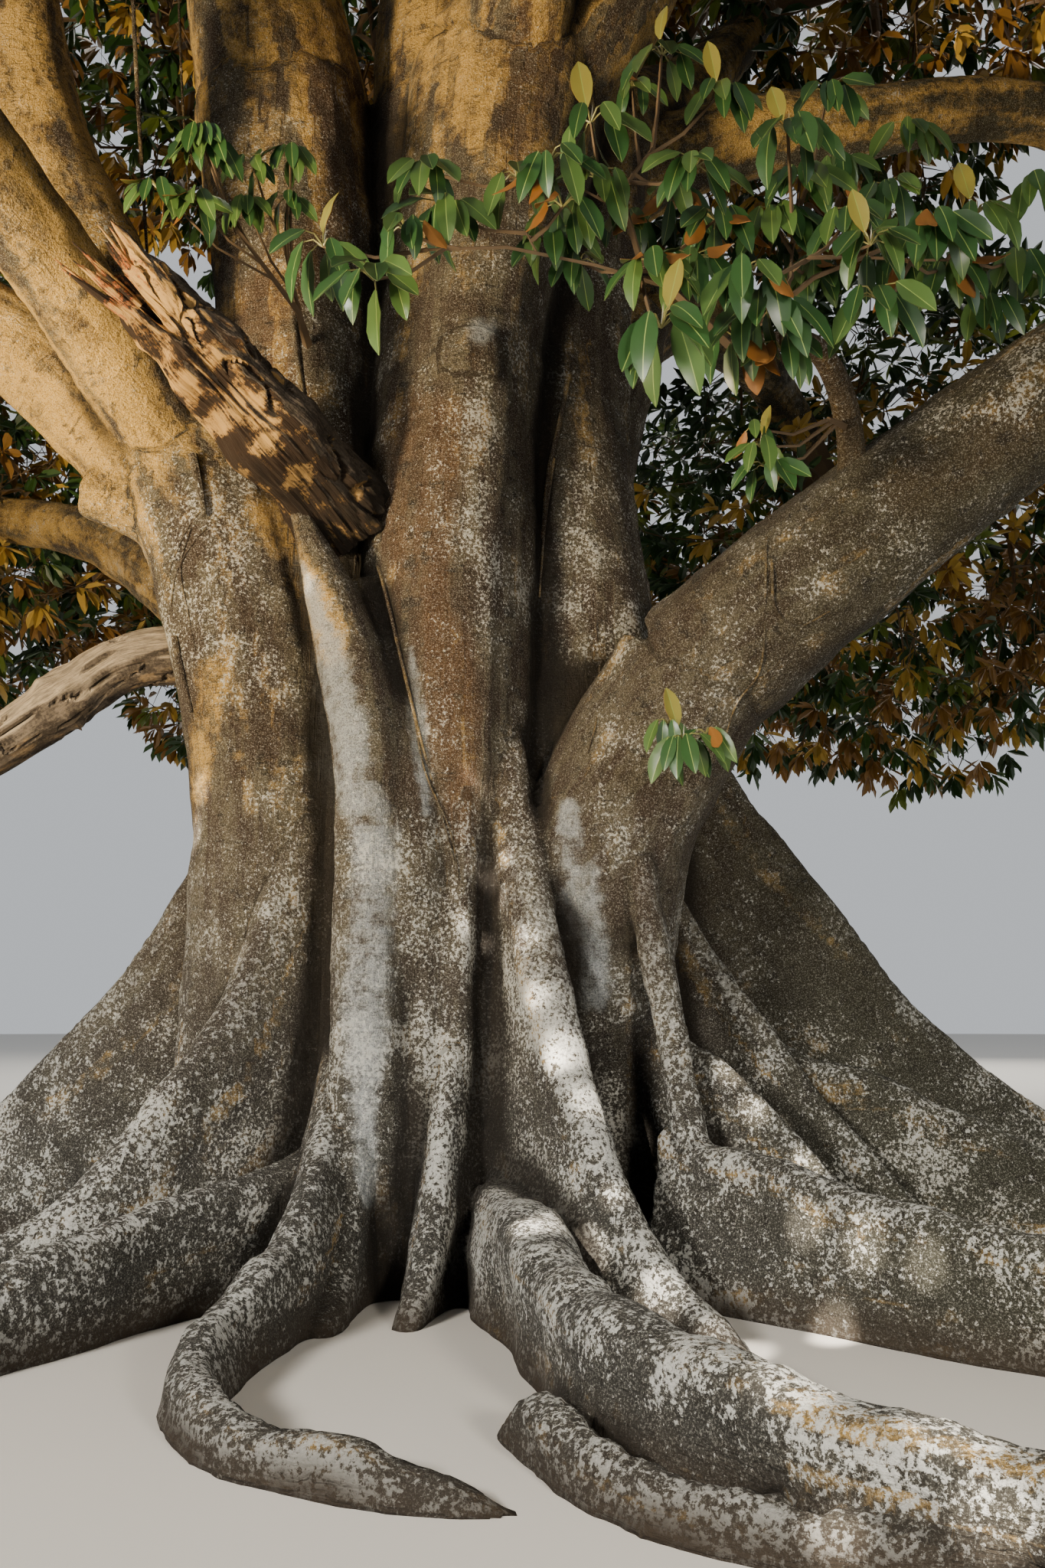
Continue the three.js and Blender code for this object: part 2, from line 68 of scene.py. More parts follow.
# %% [markdown]
# ## The camera
#
# The picture was taken at eye height, nine metres from the trunk, with a wide lens tipped up a little.
# The camera comes first, because some small pieces are placed by where they show in the picture: a ray
# through a pixel finds the bark that carries them.

# %% The camera
PHOTO_SIZE = (1365, 2048)
EYE = Vector((0.5, -8.8, 1.5))
TIP_UP = math.radians(11)
LENS = 28.0
SENSOR = 36.0
FOCUS = LENS / SENSOR * PHOTO_SIZE[1]
SEES_TO = 400

camera_data = bpy.data.cameras.new("camera")
camera_data.lens = LENS
camera_data.sensor_fit = "VERTICAL"
camera_data.sensor_height = SENSOR
camera_data.clip_end = SEES_TO
camera = bpy.data.objects.new("camera", camera_data)
camera.location = EYE
camera.rotation_euler = (math.pi / 2 + TIP_UP, 0, 0)
bpy.context.collection.objects.link(camera)
bpy.context.scene.camera = camera


def ray_through(u, v):
    """The direction in which the photograph's pixel (u, v) looks."""
    seen = Vector(((u - PHOTO_SIZE[0] / 2) / FOCUS, (PHOTO_SIZE[1] / 2 - v) / FOCUS, -1))
    return (camera.rotation_euler.to_matrix() @ seen).normalized()


def in_picture(u, v, level):
    """The point at the depth y = level that shows at the photograph's pixel (u, v)."""
    ray = ray_through(u, v)
    return np.array(EYE + ray * (level - EYE.y) / ray.y)


print("camera at", tuple(EYE), "lens", LENS)

# %% [markdown]
# ## Hands and tools
#
# An operator acts on whatever is selected, and the loaded solids start out selected. So every step picks
# its own piece first. These helpers do that, apply a modifier, read points as an array, and hand a
# finished piece to the tree.

# %% Hands and tools
def only(*pieces):
    """Selects these pieces and nothing else, with the first one active."""
    bpy.ops.object.select_all(action="DESELECT")
    for piece in pieces:
        piece.select_set(True)
    bpy.context.view_layer.objects.active = pieces[0]


def shape_with(piece, kind, **settings):
    """Adds a modifier with these settings and applies it."""
    only(piece)
    modifier = piece.modifiers.new(kind.title(), kind)
    for name, value in settings.items():
        setattr(modifier, name, value)
    bpy.ops.object.modifier_apply(modifier=modifier.name)


def all_of(parts, field, width=1, kind=np.float32):
    """One field of every point, edge, face or corner, as one array."""
    values = np.empty(len(parts) * width, kind)
    parts.foreach_get(field, values)
    return values.reshape(-1, width) if width > 1 else values


def points_of(mesh):
    return all_of(mesh.vertices, "co", 3).astype(float)


def normals_of(mesh):
    return all_of(mesh.vertices, "normal", 3).astype(float)


def place_points(mesh, points):
    mesh.vertices.foreach_set("co", np.asarray(points, np.float32).ravel())
    mesh.update()


def keep_value(mesh, name, values):
    """Stores a number or a vector for each point, for a material to read. One number goes to them all."""
    values = np.asarray(values, np.float32)
    if values.ndim == 0:
        values = np.full(len(mesh.vertices), values)
    kind, field = ("FLOAT", "value") if values.ndim == 1 else ("FLOAT_VECTOR", "vector")
    attribute = mesh.attributes.new(name, kind, "POINT")
    attribute.data.foreach_set(field, values.ravel())


def value_of(mesh, name):
    """The number or vector that is kept for each point."""
    attribute = mesh.attributes[name]
    if attribute.data_type == "FLOAT_VECTOR":
        return all_of(attribute.data, "vector", 3).astype(float)
    return all_of(attribute.data, "value").astype(float)


def hand_over(piece, name, replaces=(), material=None):
    """Names a finished piece, gives it its material and seats it on the tree."""
    piece.name = name
    piece.data.name = name
    if material:
        piece.data.materials.clear()
        piece.data.materials.append(material)
    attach(piece, "root")
    if replaces:
        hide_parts(*replaces)
    print(name, len(piece.data.polygons), "faces")


# %% [markdown]
# ## How a limb grows
#
# A stem, a bough and a thin twig are the same shape: a tube round a smooth line, wide at its foot. By hand
# one would roll up a flat sheet and pull it along a curve, and that is what happens here. The line passes
# through a few points. Soft flutes run along the limb, and slow noise in the limb's own directions
# makes them wander, so no two sides are alike.

# %% Lines and radii
STEPS_BETWEEN = 24
SMALLEST = 1e-9


def unit(vector):
    return vector / max(np.linalg.norm(vector), SMALLEST)


def unit_rows(vectors):
    return vectors / np.maximum(np.linalg.norm(vectors, axis=1), SMALLEST)[:, None]


def smooth_line(path, count):
    """Points evenly spaced on a curve through the points of a path, and the curve's length."""
    path = np.asarray(path, float)
    ends = np.vstack([2 * path[0] - path[1], path, 2 * path[-1] - path[-2]])
    dense = [path[0]]
    for a, b, c, d in zip(ends, ends[1:], ends[2:], ends[3:]):
        before, here, after = (max(np.linalg.norm(q - p) ** 0.5, 1e-6) for p, q in ((a, b), (b, c), (c, d)))
        leave = ((b - a) / before - (c - a) / (before + here) + (c - b) / here) * here
        arrive = ((c - b) / here - (d - b) / (here + after) + (d - c) / after) * here
        squared, cubed = 3 * (c - b) - 2 * leave - arrive, 2 * (b - c) + leave + arrive
        for t in np.linspace(0, 1, STEPS_BETWEEN)[1:]:
            dense.append(b + leave * t + squared * t**2 + cubed * t**3)
    dense = np.array(dense)
    way = np.concatenate([[0], np.cumsum(np.linalg.norm(np.diff(dense, axis=0), axis=1))])
    wanted = np.linspace(0, way[-1], count)
    return np.stack([np.interp(wanted, way, dense[:, k]) for k in range(3)], 1), way[-1]


def smooth_values(values, shares):
    """Values between the given ones, on a soft curve through them."""
    values = np.asarray(values, float)
    at = np.clip(shares, 0, 1) * (len(values) - 1)
    i = np.minimum(at.astype(int), len(values) - 2)
    t = at - i
    a, b, c, d = (values[np.clip(i + k, 0, len(values) - 1)] for k in (-1, 0, 1, 2))
    return b + 0.5 * t * (c - a + t * (2 * a - 5 * b + 4 * c - d + t * (3 * (b - c) + d - a)))


def frames_along(line):
    """A line's direction at each of its points, and two directions square to it, without twist."""
    tangents = unit_rows(np.gradient(line, axis=0))
    across = Vector((-tangents[0][1], tangents[0][0], 0.3)).cross(Vector(tangents[0])).normalized()
    pairs = []
    for i, tangent in enumerate(tangents):
        if i:
            across = Vector(tangents[i - 1]).rotation_difference(Vector(tangent)) @ across
        pairs.append((across.copy(), Vector(tangent).cross(across)))
    return tangents, *(np.array(side) for side in zip(*pairs))


def wander(points, seed, fine=1.0):
    """Slow noise between about -1 and 1 at each point."""
    shift = Vector((seed * 7.13, seed * 3.71, seed * 5.37))
    return np.array([noise.noise(Vector(p) * fine + shift) for p in points])


# %% Rolling a sheet into a limb
SEAM_GAP = 1e-4
limb_names = []


def rolled(name, rows, columns, place):
    """A flat grid rolled into a tube. place(share, angle) gives its points, and where each lies on it."""
    bpy.ops.object.select_all(action="DESELECT")
    bpy.ops.mesh.primitive_grid_add(x_subdivisions=columns, y_subdivisions=rows, size=1)
    piece = bpy.context.object
    piece.name = name
    flat = points_of(piece.data) + 0.5
    points, own = place(flat[:, 1], flat[:, 0] * 2 * math.pi)
    place_points(piece.data, points)
    keep_value(piece.data, "own", own)
    keep_value(piece.data, "limb", len(limb_names))
    limb_names.append(name)
    bpy.ops.object.mode_set(mode="EDIT")
    bpy.ops.mesh.select_all(action="SELECT")
    bpy.ops.mesh.remove_doubles(threshold=SEAM_GAP)
    bpy.ops.mesh.select_all(action="SELECT")
    bpy.ops.mesh.fill_holes(sides=0)
    bpy.ops.mesh.select_all(action="SELECT")
    bpy.ops.mesh.normals_make_consistent(inside=False)
    bpy.ops.object.mode_set(mode="OBJECT")
    return piece


RELIEF = 0.05
FULL_RELIEF_RADIUS = 0.6
LIMB_ROW = 0.07
# Swells and cords to the metre, round a limb and along it.
SWELLS = (2.2, 0.45)
CORDS = (6, 0.5)


def limb(name, path, radii, columns=40, flutes=0, depth=0.0, rough=1.0, seed=1, row=LIMB_ROW, carve=None):
    """A tube round a smooth line through a path, with flutes and wandering relief along it. The carve
    function, if there is one, gives how far each point is pushed outward, and how far back."""
    _, length = smooth_line(path, 4)
    rows = max(12, int(length / row))
    line, length = smooth_line(path, rows + 1)
    tangents, across, square = frames_along(line)

    def place(share, angle):
        ring = np.rint(share * rows).astype(int)
        radius = smooth_values(radii, share)
        round_it = np.stack([np.cos(angle), np.sin(angle)], 1)
        slow, corded = (
            np.column_stack([round_it * radius[:, None] * round_limb, share * length * along])
            for round_limb, along in (SWELLS, CORDS)
        )
        fluted = 1 + depth * np.cos(flutes * angle + 1.1 * wander(slow, seed, 0.4))
        swell = wander(slow, seed + 1) + 0.4 * wander(slow, seed + 2, 2.3)
        swell = swell + 0.4 * np.abs(wander(corded, seed + 3))
        swell *= RELIEF * rough * np.sqrt(radius / FULL_RELIEF_RADIUS)
        outward = across[ring] * round_it[:, :1] - square[ring] * round_it[:, 1:]
        own = np.column_stack([round_it * radius[:, None], share * length])
        push, back = carve(share, outward, own) if carve else (0, np.zeros(len(share)))
        reach = radius * fluted + swell + push
        return line[ring] + outward * reach[:, None] - tangents[ring] * back[:, None], own

    return rolled(name, rows, columns, place)


# %% [markdown]
# ## The tables of the trunk
#
# The source names its stems, ridges, roots and boughs, and gives each a path and a few sizes. The same
# tables stand here in metres. Grown with many more faces, and with relief on them, they make the bark.

# %% Stems and ridges
SINK = 0.3
STEMS = {
    "left": dict(
        path=[(-0.95, -0.35, -SINK), (-1.13, -0.43, 1.5), (-1.25, -0.52, 3), (-1.62, -0.6, 4.7),
              (-2.08, -0.64, 5.75)],
        radii=(0.9, 0.66, 0.52, 0.51, 0.48), flutes=3, depth=0.07),
    "left_leader": dict(
        path=[(-0.75, -0.1, -SINK), (-0.86, -0.2, 3), (-1.08, -0.26, 6), (-1.42, -0.2, 8.6)],
        radii=(0.85, 0.68, 0.62, 0.69), flutes=2, depth=0.06),
    "centre_leader": dict(
        path=[(-0.06, -0.5, -SINK), (-0.06, -0.68, 1.8), (-0.02, -0.74, 3.6), (0.05, -0.66, 6),
              (0.4, -0.45, 8.6)],
        radii=(0.9, 0.64, 0.62, 0.61, 0.78), flutes=3, depth=0.06),
    "right_leader": dict(
        path=[(0.6, -0.15, -SINK), (0.8, -0.22, 3.4), (0.69, -0.1, 6.3), (1.05, 0.15, 8.7)],
        radii=(0.95, 0.75, 0.59, 0.52), flutes=2, depth=0.05),
    "right_shoulder": dict(
        path=[(0.75, -0.5, -SINK), (0.9, -0.78, 1.6), (1.06, -0.94, 2.7), (1.6, -1.27, 3.7)],
        radii=(0.8, 0.52, 0.54, 0.51), flutes=2, depth=0.06),
    "back_left": dict(
        path=[(-0.5, 0.7, -SINK), (-0.6, 0.88, 3), (-0.85, 1.1, 5.6), (-1.25, 1.5, 8)],
        radii=(0.95, 0.68, 0.58, 0.54), flutes=3, depth=0.07),
    "back_right": dict(
        path=[(0.5, 0.75, -SINK), (0.6, 0.9, 3), (0.8, 1.08, 5.6), (1.3, 1.5, 7.8)],
        radii=(0.95, 0.68, 0.58, 0.54), flutes=3, depth=0.07),
    "core": dict(path=[(0, 0, -SINK), (-0.04, 0.06, 4), (-0.08, 0.25, 8.8)], radii=(1.35, 1.08, 0.7)),
}
RIDGES = {
    "sinew": dict(
        path=[(-1.02, -1.32, 4.92), (-0.86, -1.3, 4.5), (-0.7, -1.29, 4.1), (-0.47, -1.37, 3.1),
              (-0.43, -1.4, 1.8), (-0.38, -1.48, -SINK)],
        radii=(0.05, 0.19, 0.21, 0.225, 0.245, 0.29)),
    "sinew_bed": dict(
        path=[(-0.6, -1.0, 4.35), (-0.35, -1.15, 3.1), (-0.25, -1.2, 2.2), (-0.22, -1.1, 1.2),
              (-0.2, -1, -SINK)],
        radii=(0.2, 0.31, 0.33, 0.26, 0.2)),
    "thin_rib": dict(
        path=[(1.13, -1.3, 3), (1.25, -1.41, 2.15), (1.37, -1.56, 1.35), (1.47, -1.74, 0.65),
              (1.56, -1.95, -SINK)],
        radii=(0.07, 0.095, 0.085, 0.1, 0.12)),
    "inner_rib": dict(
        path=[(-0.06, -1.29, 2.7), (-0.11, -1.39, 1.5), (-0.14, -1.45, -SINK)], radii=(0.08, 0.115, 0.13)),
    "cleft_rib": dict(
        path=[(0.13, -1.27, 3), (0.09, -1.36, 1.5), (0.06, -1.43, -SINK)], radii=(0.08, 0.11, 0.14)),
    "broken_knob": dict(
        path=[(-1.75, -0.62, 4.85), (-2.25, -0.76, 5.05), (-2.56, -0.82, 5.13)], radii=(0.26, 0.21, 0.16)),
}

# %% Roots
ROOTS = {
    "far_left": dict(
        start=(-0.9, 0.15), heading=178, turn=8, reach=4.7, rise=5, tip=0.23, crest=0.17, foot=0.33),
    "left_front": dict(
        start=(-0.8, -0.7), heading=232, turn=-30, turn_at=0.35, reach=3.7, rise=3.7, tip=0.22, fall=3.5,
        crest=0.15, foot=0.3),
    "left_low": dict(
        start=(-0.7, -1.2), heading=243, turn=-26, turn_at=0.6, reach=3.7, rise=0.78, tip=0.24, fall=1.2,
        crest=0.15, foot=0.26, undercut=(1, 0.55)),
    "left_snake": dict(
        start=(-0.64, -1.05), heading=266, turn=74, turn_at=0.62, reach=4.4, rise=1.5, tip=0.17, fall=3.6,
        crest=0.13, foot=0.23),
    "cleft_left": dict(
        start=(-0.3, -1.15), heading=262, reach=1.5, rise=2.1, tip=0.06, fall=2.2, crest=0.11, foot=0.2),
    "cleft_right": dict(
        start=(0.23, -1.05), heading=256, reach=1.5, rise=2.7, tip=0.06, fall=2, crest=0.12, foot=0.23),
    "centre": dict(
        start=(0.35, -0.95), heading=299, reach=2.5, rise=3.9, tip=0.12, fall=2.1, crest=0.19, foot=0.36),
    "front_snake": dict(
        start=(0.4, -1.5), heading=272, turn=66, turn_at=0.36, reach=6.8, rise=0.62, tip=0.21, fall=1,
        crest=0.21, foot=0.33, undercut=(-1, 0.62)),
    "front_offshoot": dict(
        start=(0.42, -3.7), heading=284, turn=62, turn_at=0.4, reach=2.5, rise=0.23, tip=0.09, fall=1,
        crest=0.11, foot=0.15, dives=True),
    "corner_offshoot": dict(
        start=(3.3, -4.9), heading=196, turn=12, reach=1.9, rise=0.26, tip=0.07, fall=1, crest=0.12,
        foot=0.17, dives=True),
    "right_snake": dict(
        start=(1.35, -1.55), heading=308, turn=26, reach=4.3, rise=0.9, tip=0.26, fall=1.2, crest=0.17,
        foot=0.28, undercut=(-1, 0.45)),
    "right_knee": dict(
        start=(1.15, -0.85), heading=318, reach=1.75, rise=1.75, tip=0.04, fall=0.6, crest=0.13, foot=0.24),
    "right_plate": dict(
        start=(0.95, -0.45), heading=341, turn=-14, reach=2.8, rise=3.7, tip=0.13, fall=1.8, crest=0.12,
        foot=0.26),
    "right_lobe": dict(
        start=(1.8, -0.43), heading=349, turn=-22, reach=2.5, rise=1.5, tip=0.04, fall=0.5, crest=0.19,
        foot=0.33),
    "far_right": dict(
        start=(0.9, 0.25), heading=4, turn=6, reach=6, rise=5.4, tip=0.2, fall=2.4, crest=0.15, foot=0.34),
}
BACK_HEADINGS = (32, 58, 84, 109, 133, 157)
BACK_START = 0.9


def random_from(seed):
    """The source's repeatable stream of numbers from 0 to 1."""
    state = seed
    while True:
        state = state * 48271 % 2147483647
        yield state / 2147483647


def back_roots():
    """The same kind of wall round the back, by the source's seeded rule."""
    draw = random_from(4211)
    for i, heading in enumerate(BACK_HEADINGS):
        low = i % 3 == 1
        facing = math.radians(heading)
        yield dict(
            start=(math.cos(facing) * BACK_START, math.sin(facing) * BACK_START),
            heading=heading + 10 * (next(draw) - 0.5),
            turn=50 * (next(draw) - 0.5),
            turn_at=0.5 + 0.1 * next(draw),
            reach=3.3 if low else 3.9 + 1.3 * next(draw),
            rise=1.5 if low else 3.6 + 1.3 * next(draw),
            tip=0.19,
            fall=1.4 if low else 2.6,
            crest=0.14 + 0.04 * next(draw),
            foot=0.29 + 0.06 * next(draw),
        )


# %% [markdown]
# A buttress root is a wall, not a tube. Its crest falls from the trunk in a hollow curve and its foot is
# thicker than its crest. It wanders and may turn. The source walks it out in eight strides, so the same
# strides are taken here, and a smooth line is drawn through them.

# %% Root walls
STRIDES = 8
TURN_SPAN = 0.28
SWAY = 7
ROOT_COLUMNS = 34
NARROWS_BY = 0.45
TIP_SINKS_BY = 0.6
DIVE_LENGTH = 0.2
WORN_HEIGHT = 0.33


def smoothstep(x, low, high):
    """0 below low, 1 above high, and smooth between."""
    t = np.clip((x - low) / (high - low), 0, 1)
    return t * t * (3 - 2 * t)


def root_wall(name, start, heading, reach, rise, tip, crest, foot, turn=0, turn_at=0.5, fall=2.8, seed=1,
              undercut=(1, 0.0), dives=False):
    """A wall from the trunk outward. An undercut gives the side that is worn and how deep. A root that
    dives starts below ground level."""
    spots = [np.array([*start, 0.0])]
    for i in range(STRIDES):
        share = i / STRIDES
        bend = smoothstep(share, turn_at - TURN_SPAN, turn_at + TURN_SPAN)
        facing = math.radians(heading + turn * bend + SWAY * math.sin(share * 6 + heading))
        spots.append(spots[-1] + np.array([math.cos(facing), math.sin(facing), 0]) * reach / STRIDES)
    rows = int(reach / LIMB_ROW)
    line, _ = smooth_line(spots, rows + 1)
    heads = unit_rows(np.gradient(line, axis=0))
    left = np.column_stack([-heads[:, 1], heads[:, 0], np.zeros(len(heads))])

    def place(share, angle):
        ring = np.rint(share * rows).astype(int)
        upward = (1 + np.cos(angle)) / 2
        ground_line = SINK / (SINK + tip + (rise - tip) * (1 - share) ** fall)
        flare = crest + (foot - crest) * (1 - np.maximum(upward, ground_line)) ** 2
        side = np.sign(np.sin(angle)) * np.sqrt(np.abs(np.sin(angle))) * flare * (1 - NARROWS_BY * share)
        sunk = TIP_SINKS_BY * SINK * np.clip(share * STRIDES - (STRIDES - 1), 0, 1)
        if dives:
            sunk = sunk + (rise + 0.05) * (1 - smoothstep(share, 0, DIVE_LENGTH))
        own = np.column_stack([share * reach * 1.1, upward * 2.2, np.sin(angle) * 0.8])
        crest_line = np.column_stack([share * reach * 1.6, np.zeros_like(share), np.zeros_like(share)])
        height = tip + (rise - tip) * (1 - share) ** fall - sunk
        height = height * (1 + 0.09 * wander(crest_line, seed)) + 0.03 * wander(crest_line, seed + 3, 2.4)
        side = side * (1 + 0.16 * wander(own, seed + 1)) + 0.045 * wander(own, seed + 2) * (1 - 0.4 * share)
        worn_side, depth = undercut
        worn = depth * np.exp(-(((upward - 0.5) / WORN_HEIGHT) ** 2)) * smoothstep(share, 0.08, 0.2)
        worn = worn * (np.sin(angle) * worn_side > 0)
        worn = worn * np.clip(0.8 + 0.9 * wander(own, seed + 5, 0.9), 0, 1.1)
        side = side * (1 - worn)
        spot = line[ring] + left[ring] * side[:, None]
        spot[:, 2] = -SINK + (height + SINK) * upward
        return spot, np.column_stack([side, upward * 1.5, share * reach])

    return rolled(name, rows, ROOT_COLUMNS, place)


# %% Crown spaces and boughs
CROWN_TOP = 20.4
RINGS = {
    "outer": dict(count=8, first=-35, distance=10.5, height=8.3, space=(3.95, 3.95, 3.5)),
    "upper": dict(count=5, first=-26, distance=5.75, height=14.2, space=(3.3, 3.3, 2.75)),
    "top": dict(count=1, first=0, distance=0, height=CROWN_TOP - 2.5, space=(3.5, 3.5, 2.5)),
}
BOUGHS = {
    "bough_right": dict(
        stem="right_shoulder", via=[(2.33, -1.76, 4.22), (3.45, -2.38, 4.95), (5, -3.2, 5.8)],
        mass=("outer", 0), root=0.5, tip=0.22),
    "bough_upper_right": dict(
        out=(0.8, 0.25, 8), via=[(2, 0.5, 8.9), (3.6, 0.7, 9.35), (5, 0.95, 9.65)],
        mass=("outer", 1), root=0.38, tip=0.21),
    "bough_back_right": dict(
        stem="back_right", via=[(2.2, 3, 8.9), (3.3, 4.6, 9.2)], mass=("outer", 2), root=0.53, tip=0.22),
    "bough_back": dict(
        inside=(-0.05, 0.3, 3.7), out=(-0.1, 0.9, 4.9), via=[(-0.35, 2.7, 5.8), (-0.8, 4.7, 6.9)],
        mass=("outer", 3), root=0.48, tip=0.22),
    "bough_back_left": dict(
        inside=(-0.35, 0.4, 3.1), out=(-0.75, 0.8, 4.2), via=[(-2.3, 2.1, 5.2), (-4, 3.3, 6.5)],
        mass=("outer", 4), root=0.47, tip=0.22),
    "bough_left_low": dict(
        out=(-1.75, -0.62, 5), via=[(-2.7, -0.68, 5.9), (-3.5, -0.76, 6.5), (-5.1, -1, 7.2)],
        mass=("outer", 5), root=0.4, tip=0.22),
    "bough_front_left": dict(
        out=(-1.9, -0.64, 5.4), via=[(-2.7, -2, 6.5), (-3.5, -4, 7.4)],
        mass=("outer", 6), root=0.33, tip=0.2),
    "bough_front": dict(
        out=(0.35, -0.4, 8.2), via=[(0.65, -1.9, 9.3), (1.1, -4.2, 9.7)],
        mass=("outer", 7), root=0.42, tip=0.21),
    "bough_left_high": dict(
        stem="left", via=[(-2.7, -0.69, 6.95), (-3.18, -0.75, 8.15), (-3.5, -0.85, 9.7)],
        mass=("upper", 3), root=0.47, tip=0.21),
    "leader_left": dict(
        stem="left_leader", via=[(-1.65, -0.9, 10.2)], mass=("upper", 4), root=0.67, tip=0.23),
    "leader_centre": dict(
        stem="centre_leader", via=[(1.5, -0.9, 10)], mass=("upper", 0), root=0.76, tip=0.23),
    "leader_right": dict(
        stem="right_leader", via=[(2, 1.5, 10.2)], mass=("upper", 1), root=0.51, tip=0.22),
    "leader_back": dict(
        stem="back_left", via=[(-1.7, 2.8, 9.8)], mass=("upper", 2), root=0.53, tip=0.22),
    "leader_top": dict(
        stem="core", via=[(-0.15, 0.3, 11), (0, 0.1, 13.5)], mass=("top", 0), root=0.68, tip=0.24),
}
ENTRY = 0.86


def space_of(ring, number):
    """The centre and half sizes of a mass."""
    shape = RINGS[ring]
    angle = math.radians(shape["first"] + 360 / shape["count"] * number)
    centre = (math.cos(angle) * shape["distance"], math.sin(angle) * shape["distance"], shape["height"])
    return np.array(centre), np.array(shape["space"])


def bough_path(bough):
    """The points of a bough, from its stem's end or the trunk's inside to just inside its mass."""
    centre, space = space_of(*bough["mass"])
    away = np.array(bough["via"][-1]) - centre
    entry = centre + away * ENTRY / np.linalg.norm(away / space)
    first = STEMS[bough["stem"]]["path"][-1] if "stem" in bough else bough["out"]
    deeper = [bough["inside"]] if "inside" in bough else []
    return [*deeper, first, *bough["via"], tuple(entry)]


def bough_radii(bough):
    """A bough thins quickly near its root and slowly later on."""
    root, tip = bough["root"], bough["tip"]
    return (root, root + (tip - root) * 0.38, root + (tip - root) * 0.72, tip)


print(len(STEMS), "stems,", len(RIDGES), "ridges,", len(ROOTS), "named roots,", len(BOUGHS), "boughs")

# %% [markdown]
# ## The wood, fused
#
# The stems of an old fig press on each other until they grow together. Remeshing does the same: it turns
# all the overlapping tubes into one skin. A little smoothing then softens the seams into folds, as bark
# does when it swells over them. The skin keeps a note of the limb that each point came from.

# %% Growing and fusing
BARK_GRAIN = 0.047
STEM_LOOKS = dict(columns=56)
RIDGE_LOOKS = dict(columns=20, rough=0.45)
BOUGH_LOOKS = dict(columns=44, flutes=3, depth=0.03, rough=0.7)
BURL = dict(at=(0.15, -1.23, 5.9), size=(0.21, 0.13, 0.23))


def grow_wood():
    """All the limbs in one piece, still as separate tubes. Each kind counts its seeds from its own number."""
    parts = [limb(name, seed=i, **STEM_LOOKS, **shape) for i, (name, shape) in enumerate(STEMS.items(), 1)]
    for i, (name, shape) in enumerate(RIDGES.items(), 21):
        parts.append(limb(name, seed=i, **RIDGE_LOOKS, **shape))
    for i, (name, shape) in enumerate(ROOTS.items(), 41):
        parts.append(root_wall(name, seed=i, **shape))
    for i, shape in enumerate(back_roots()):
        parts.append(root_wall(f"back_root_{i + 1}", seed=i + 61, **shape))
    for i, (name, bough) in enumerate(BOUGHS.items(), 81):
        parts.append(limb(name, bough_path(bough), bough_radii(bough), seed=i, **BOUGH_LOOKS))
    bpy.ops.object.select_all(action="DESELECT")
    bpy.ops.mesh.primitive_uv_sphere_add(segments=24, ring_count=12, radius=1, location=BURL["at"])
    burl = bpy.context.object
    burl.scale = BURL["size"]
    bpy.ops.object.transform_apply(location=True, scale=True)
    keep_value(burl.data, "own", points_of(burl.data))
    keep_value(burl.data, "limb", limb_names.index("centre_leader"))
    parts.append(burl)
    only(*parts)
    bpy.ops.object.join()
    return bpy.context.object


wood = grow_wood()
wood.data.remesh_voxel_size = BARK_GRAIN
wood.data.use_remesh_preserve_attributes = True
only(wood)
bpy.ops.object.voxel_remesh()
print("fused wood:", len(wood.data.vertices), "points")

# %% [markdown]
# The skin comes out a little square-edged, so it is smoothed. Then it gets what a hand feels on this bark:
# shallow lumps, and low rings that run round each limb where the bark folds as the wood thickens.
# Everything below ground level is pressed flat, and the pressed points are drawn inward like a skin on milk,
# so the foot ends in a clean flat underside. Where the skin lies deeper than a very smooth copy of itself
# there is a hollow, and painted shade darkens the bark's colour there. Where it stands proud of the copy
# there is a crest, and more lichen sits there.

# %% Relief of the bark
LUMP_HEIGHT = 0.014
RING_HEIGHT = 0.012
ROPE_HEIGHT = 0.02
BURL_RIM = 0.03


def neighbours_of(mesh):
    """Every edge twice, from each of its ends to the other."""
    a, b = all_of(mesh.edges, "vertices", 2, np.int32).T
    return np.concatenate([a, b]), np.concatenate([b, a])


def spread_out(mesh, values, times):
    """Each point's value, averaged with its neighbours again and again."""
    here, there = neighbours_of(mesh)
    count = np.maximum(np.bincount(here, minlength=len(mesh.vertices)), 1)
    values = np.asarray(values, float)
    for _ in range(times):
        if values.ndim == 1:
            values = np.bincount(here, values[there], len(count)) / count
        else:
            sums = [np.bincount(here, column[there], len(count)) for column in values.T]
            values = np.stack(sums, 1) / count[:, None]
    return values


shape_with(wood, "SMOOTH", factor=0.5, iterations=3)
skin = wood.data
points, normals = points_of(skin), normals_of(skin)
own = value_of(skin, "own")
lumps = wander(points, 3, 3.1) + 0.5 * wander(points, 4, 6.7)
rings = wander(own * (1.5, 1.5, 8), 5) * np.clip(0.5 + 1.5 * wander(points, 6, 0.6), 0, 1)
ropes = np.abs(wander(own * (9, 9, 0.7), 7))
from_burl = np.linalg.norm((points - BURL["at"]) / BURL["size"], axis=1)
rim = np.exp(-(((from_burl - 1.05) / 0.22) ** 2)) - 0.8 * np.exp(-((from_burl / 0.75) ** 4))
relief = LUMP_HEIGHT * lumps + RING_HEIGHT * rings + ROPE_HEIGHT * ropes + BURL_RIM * rim
place_points(skin, points + normals * relief[:, None])

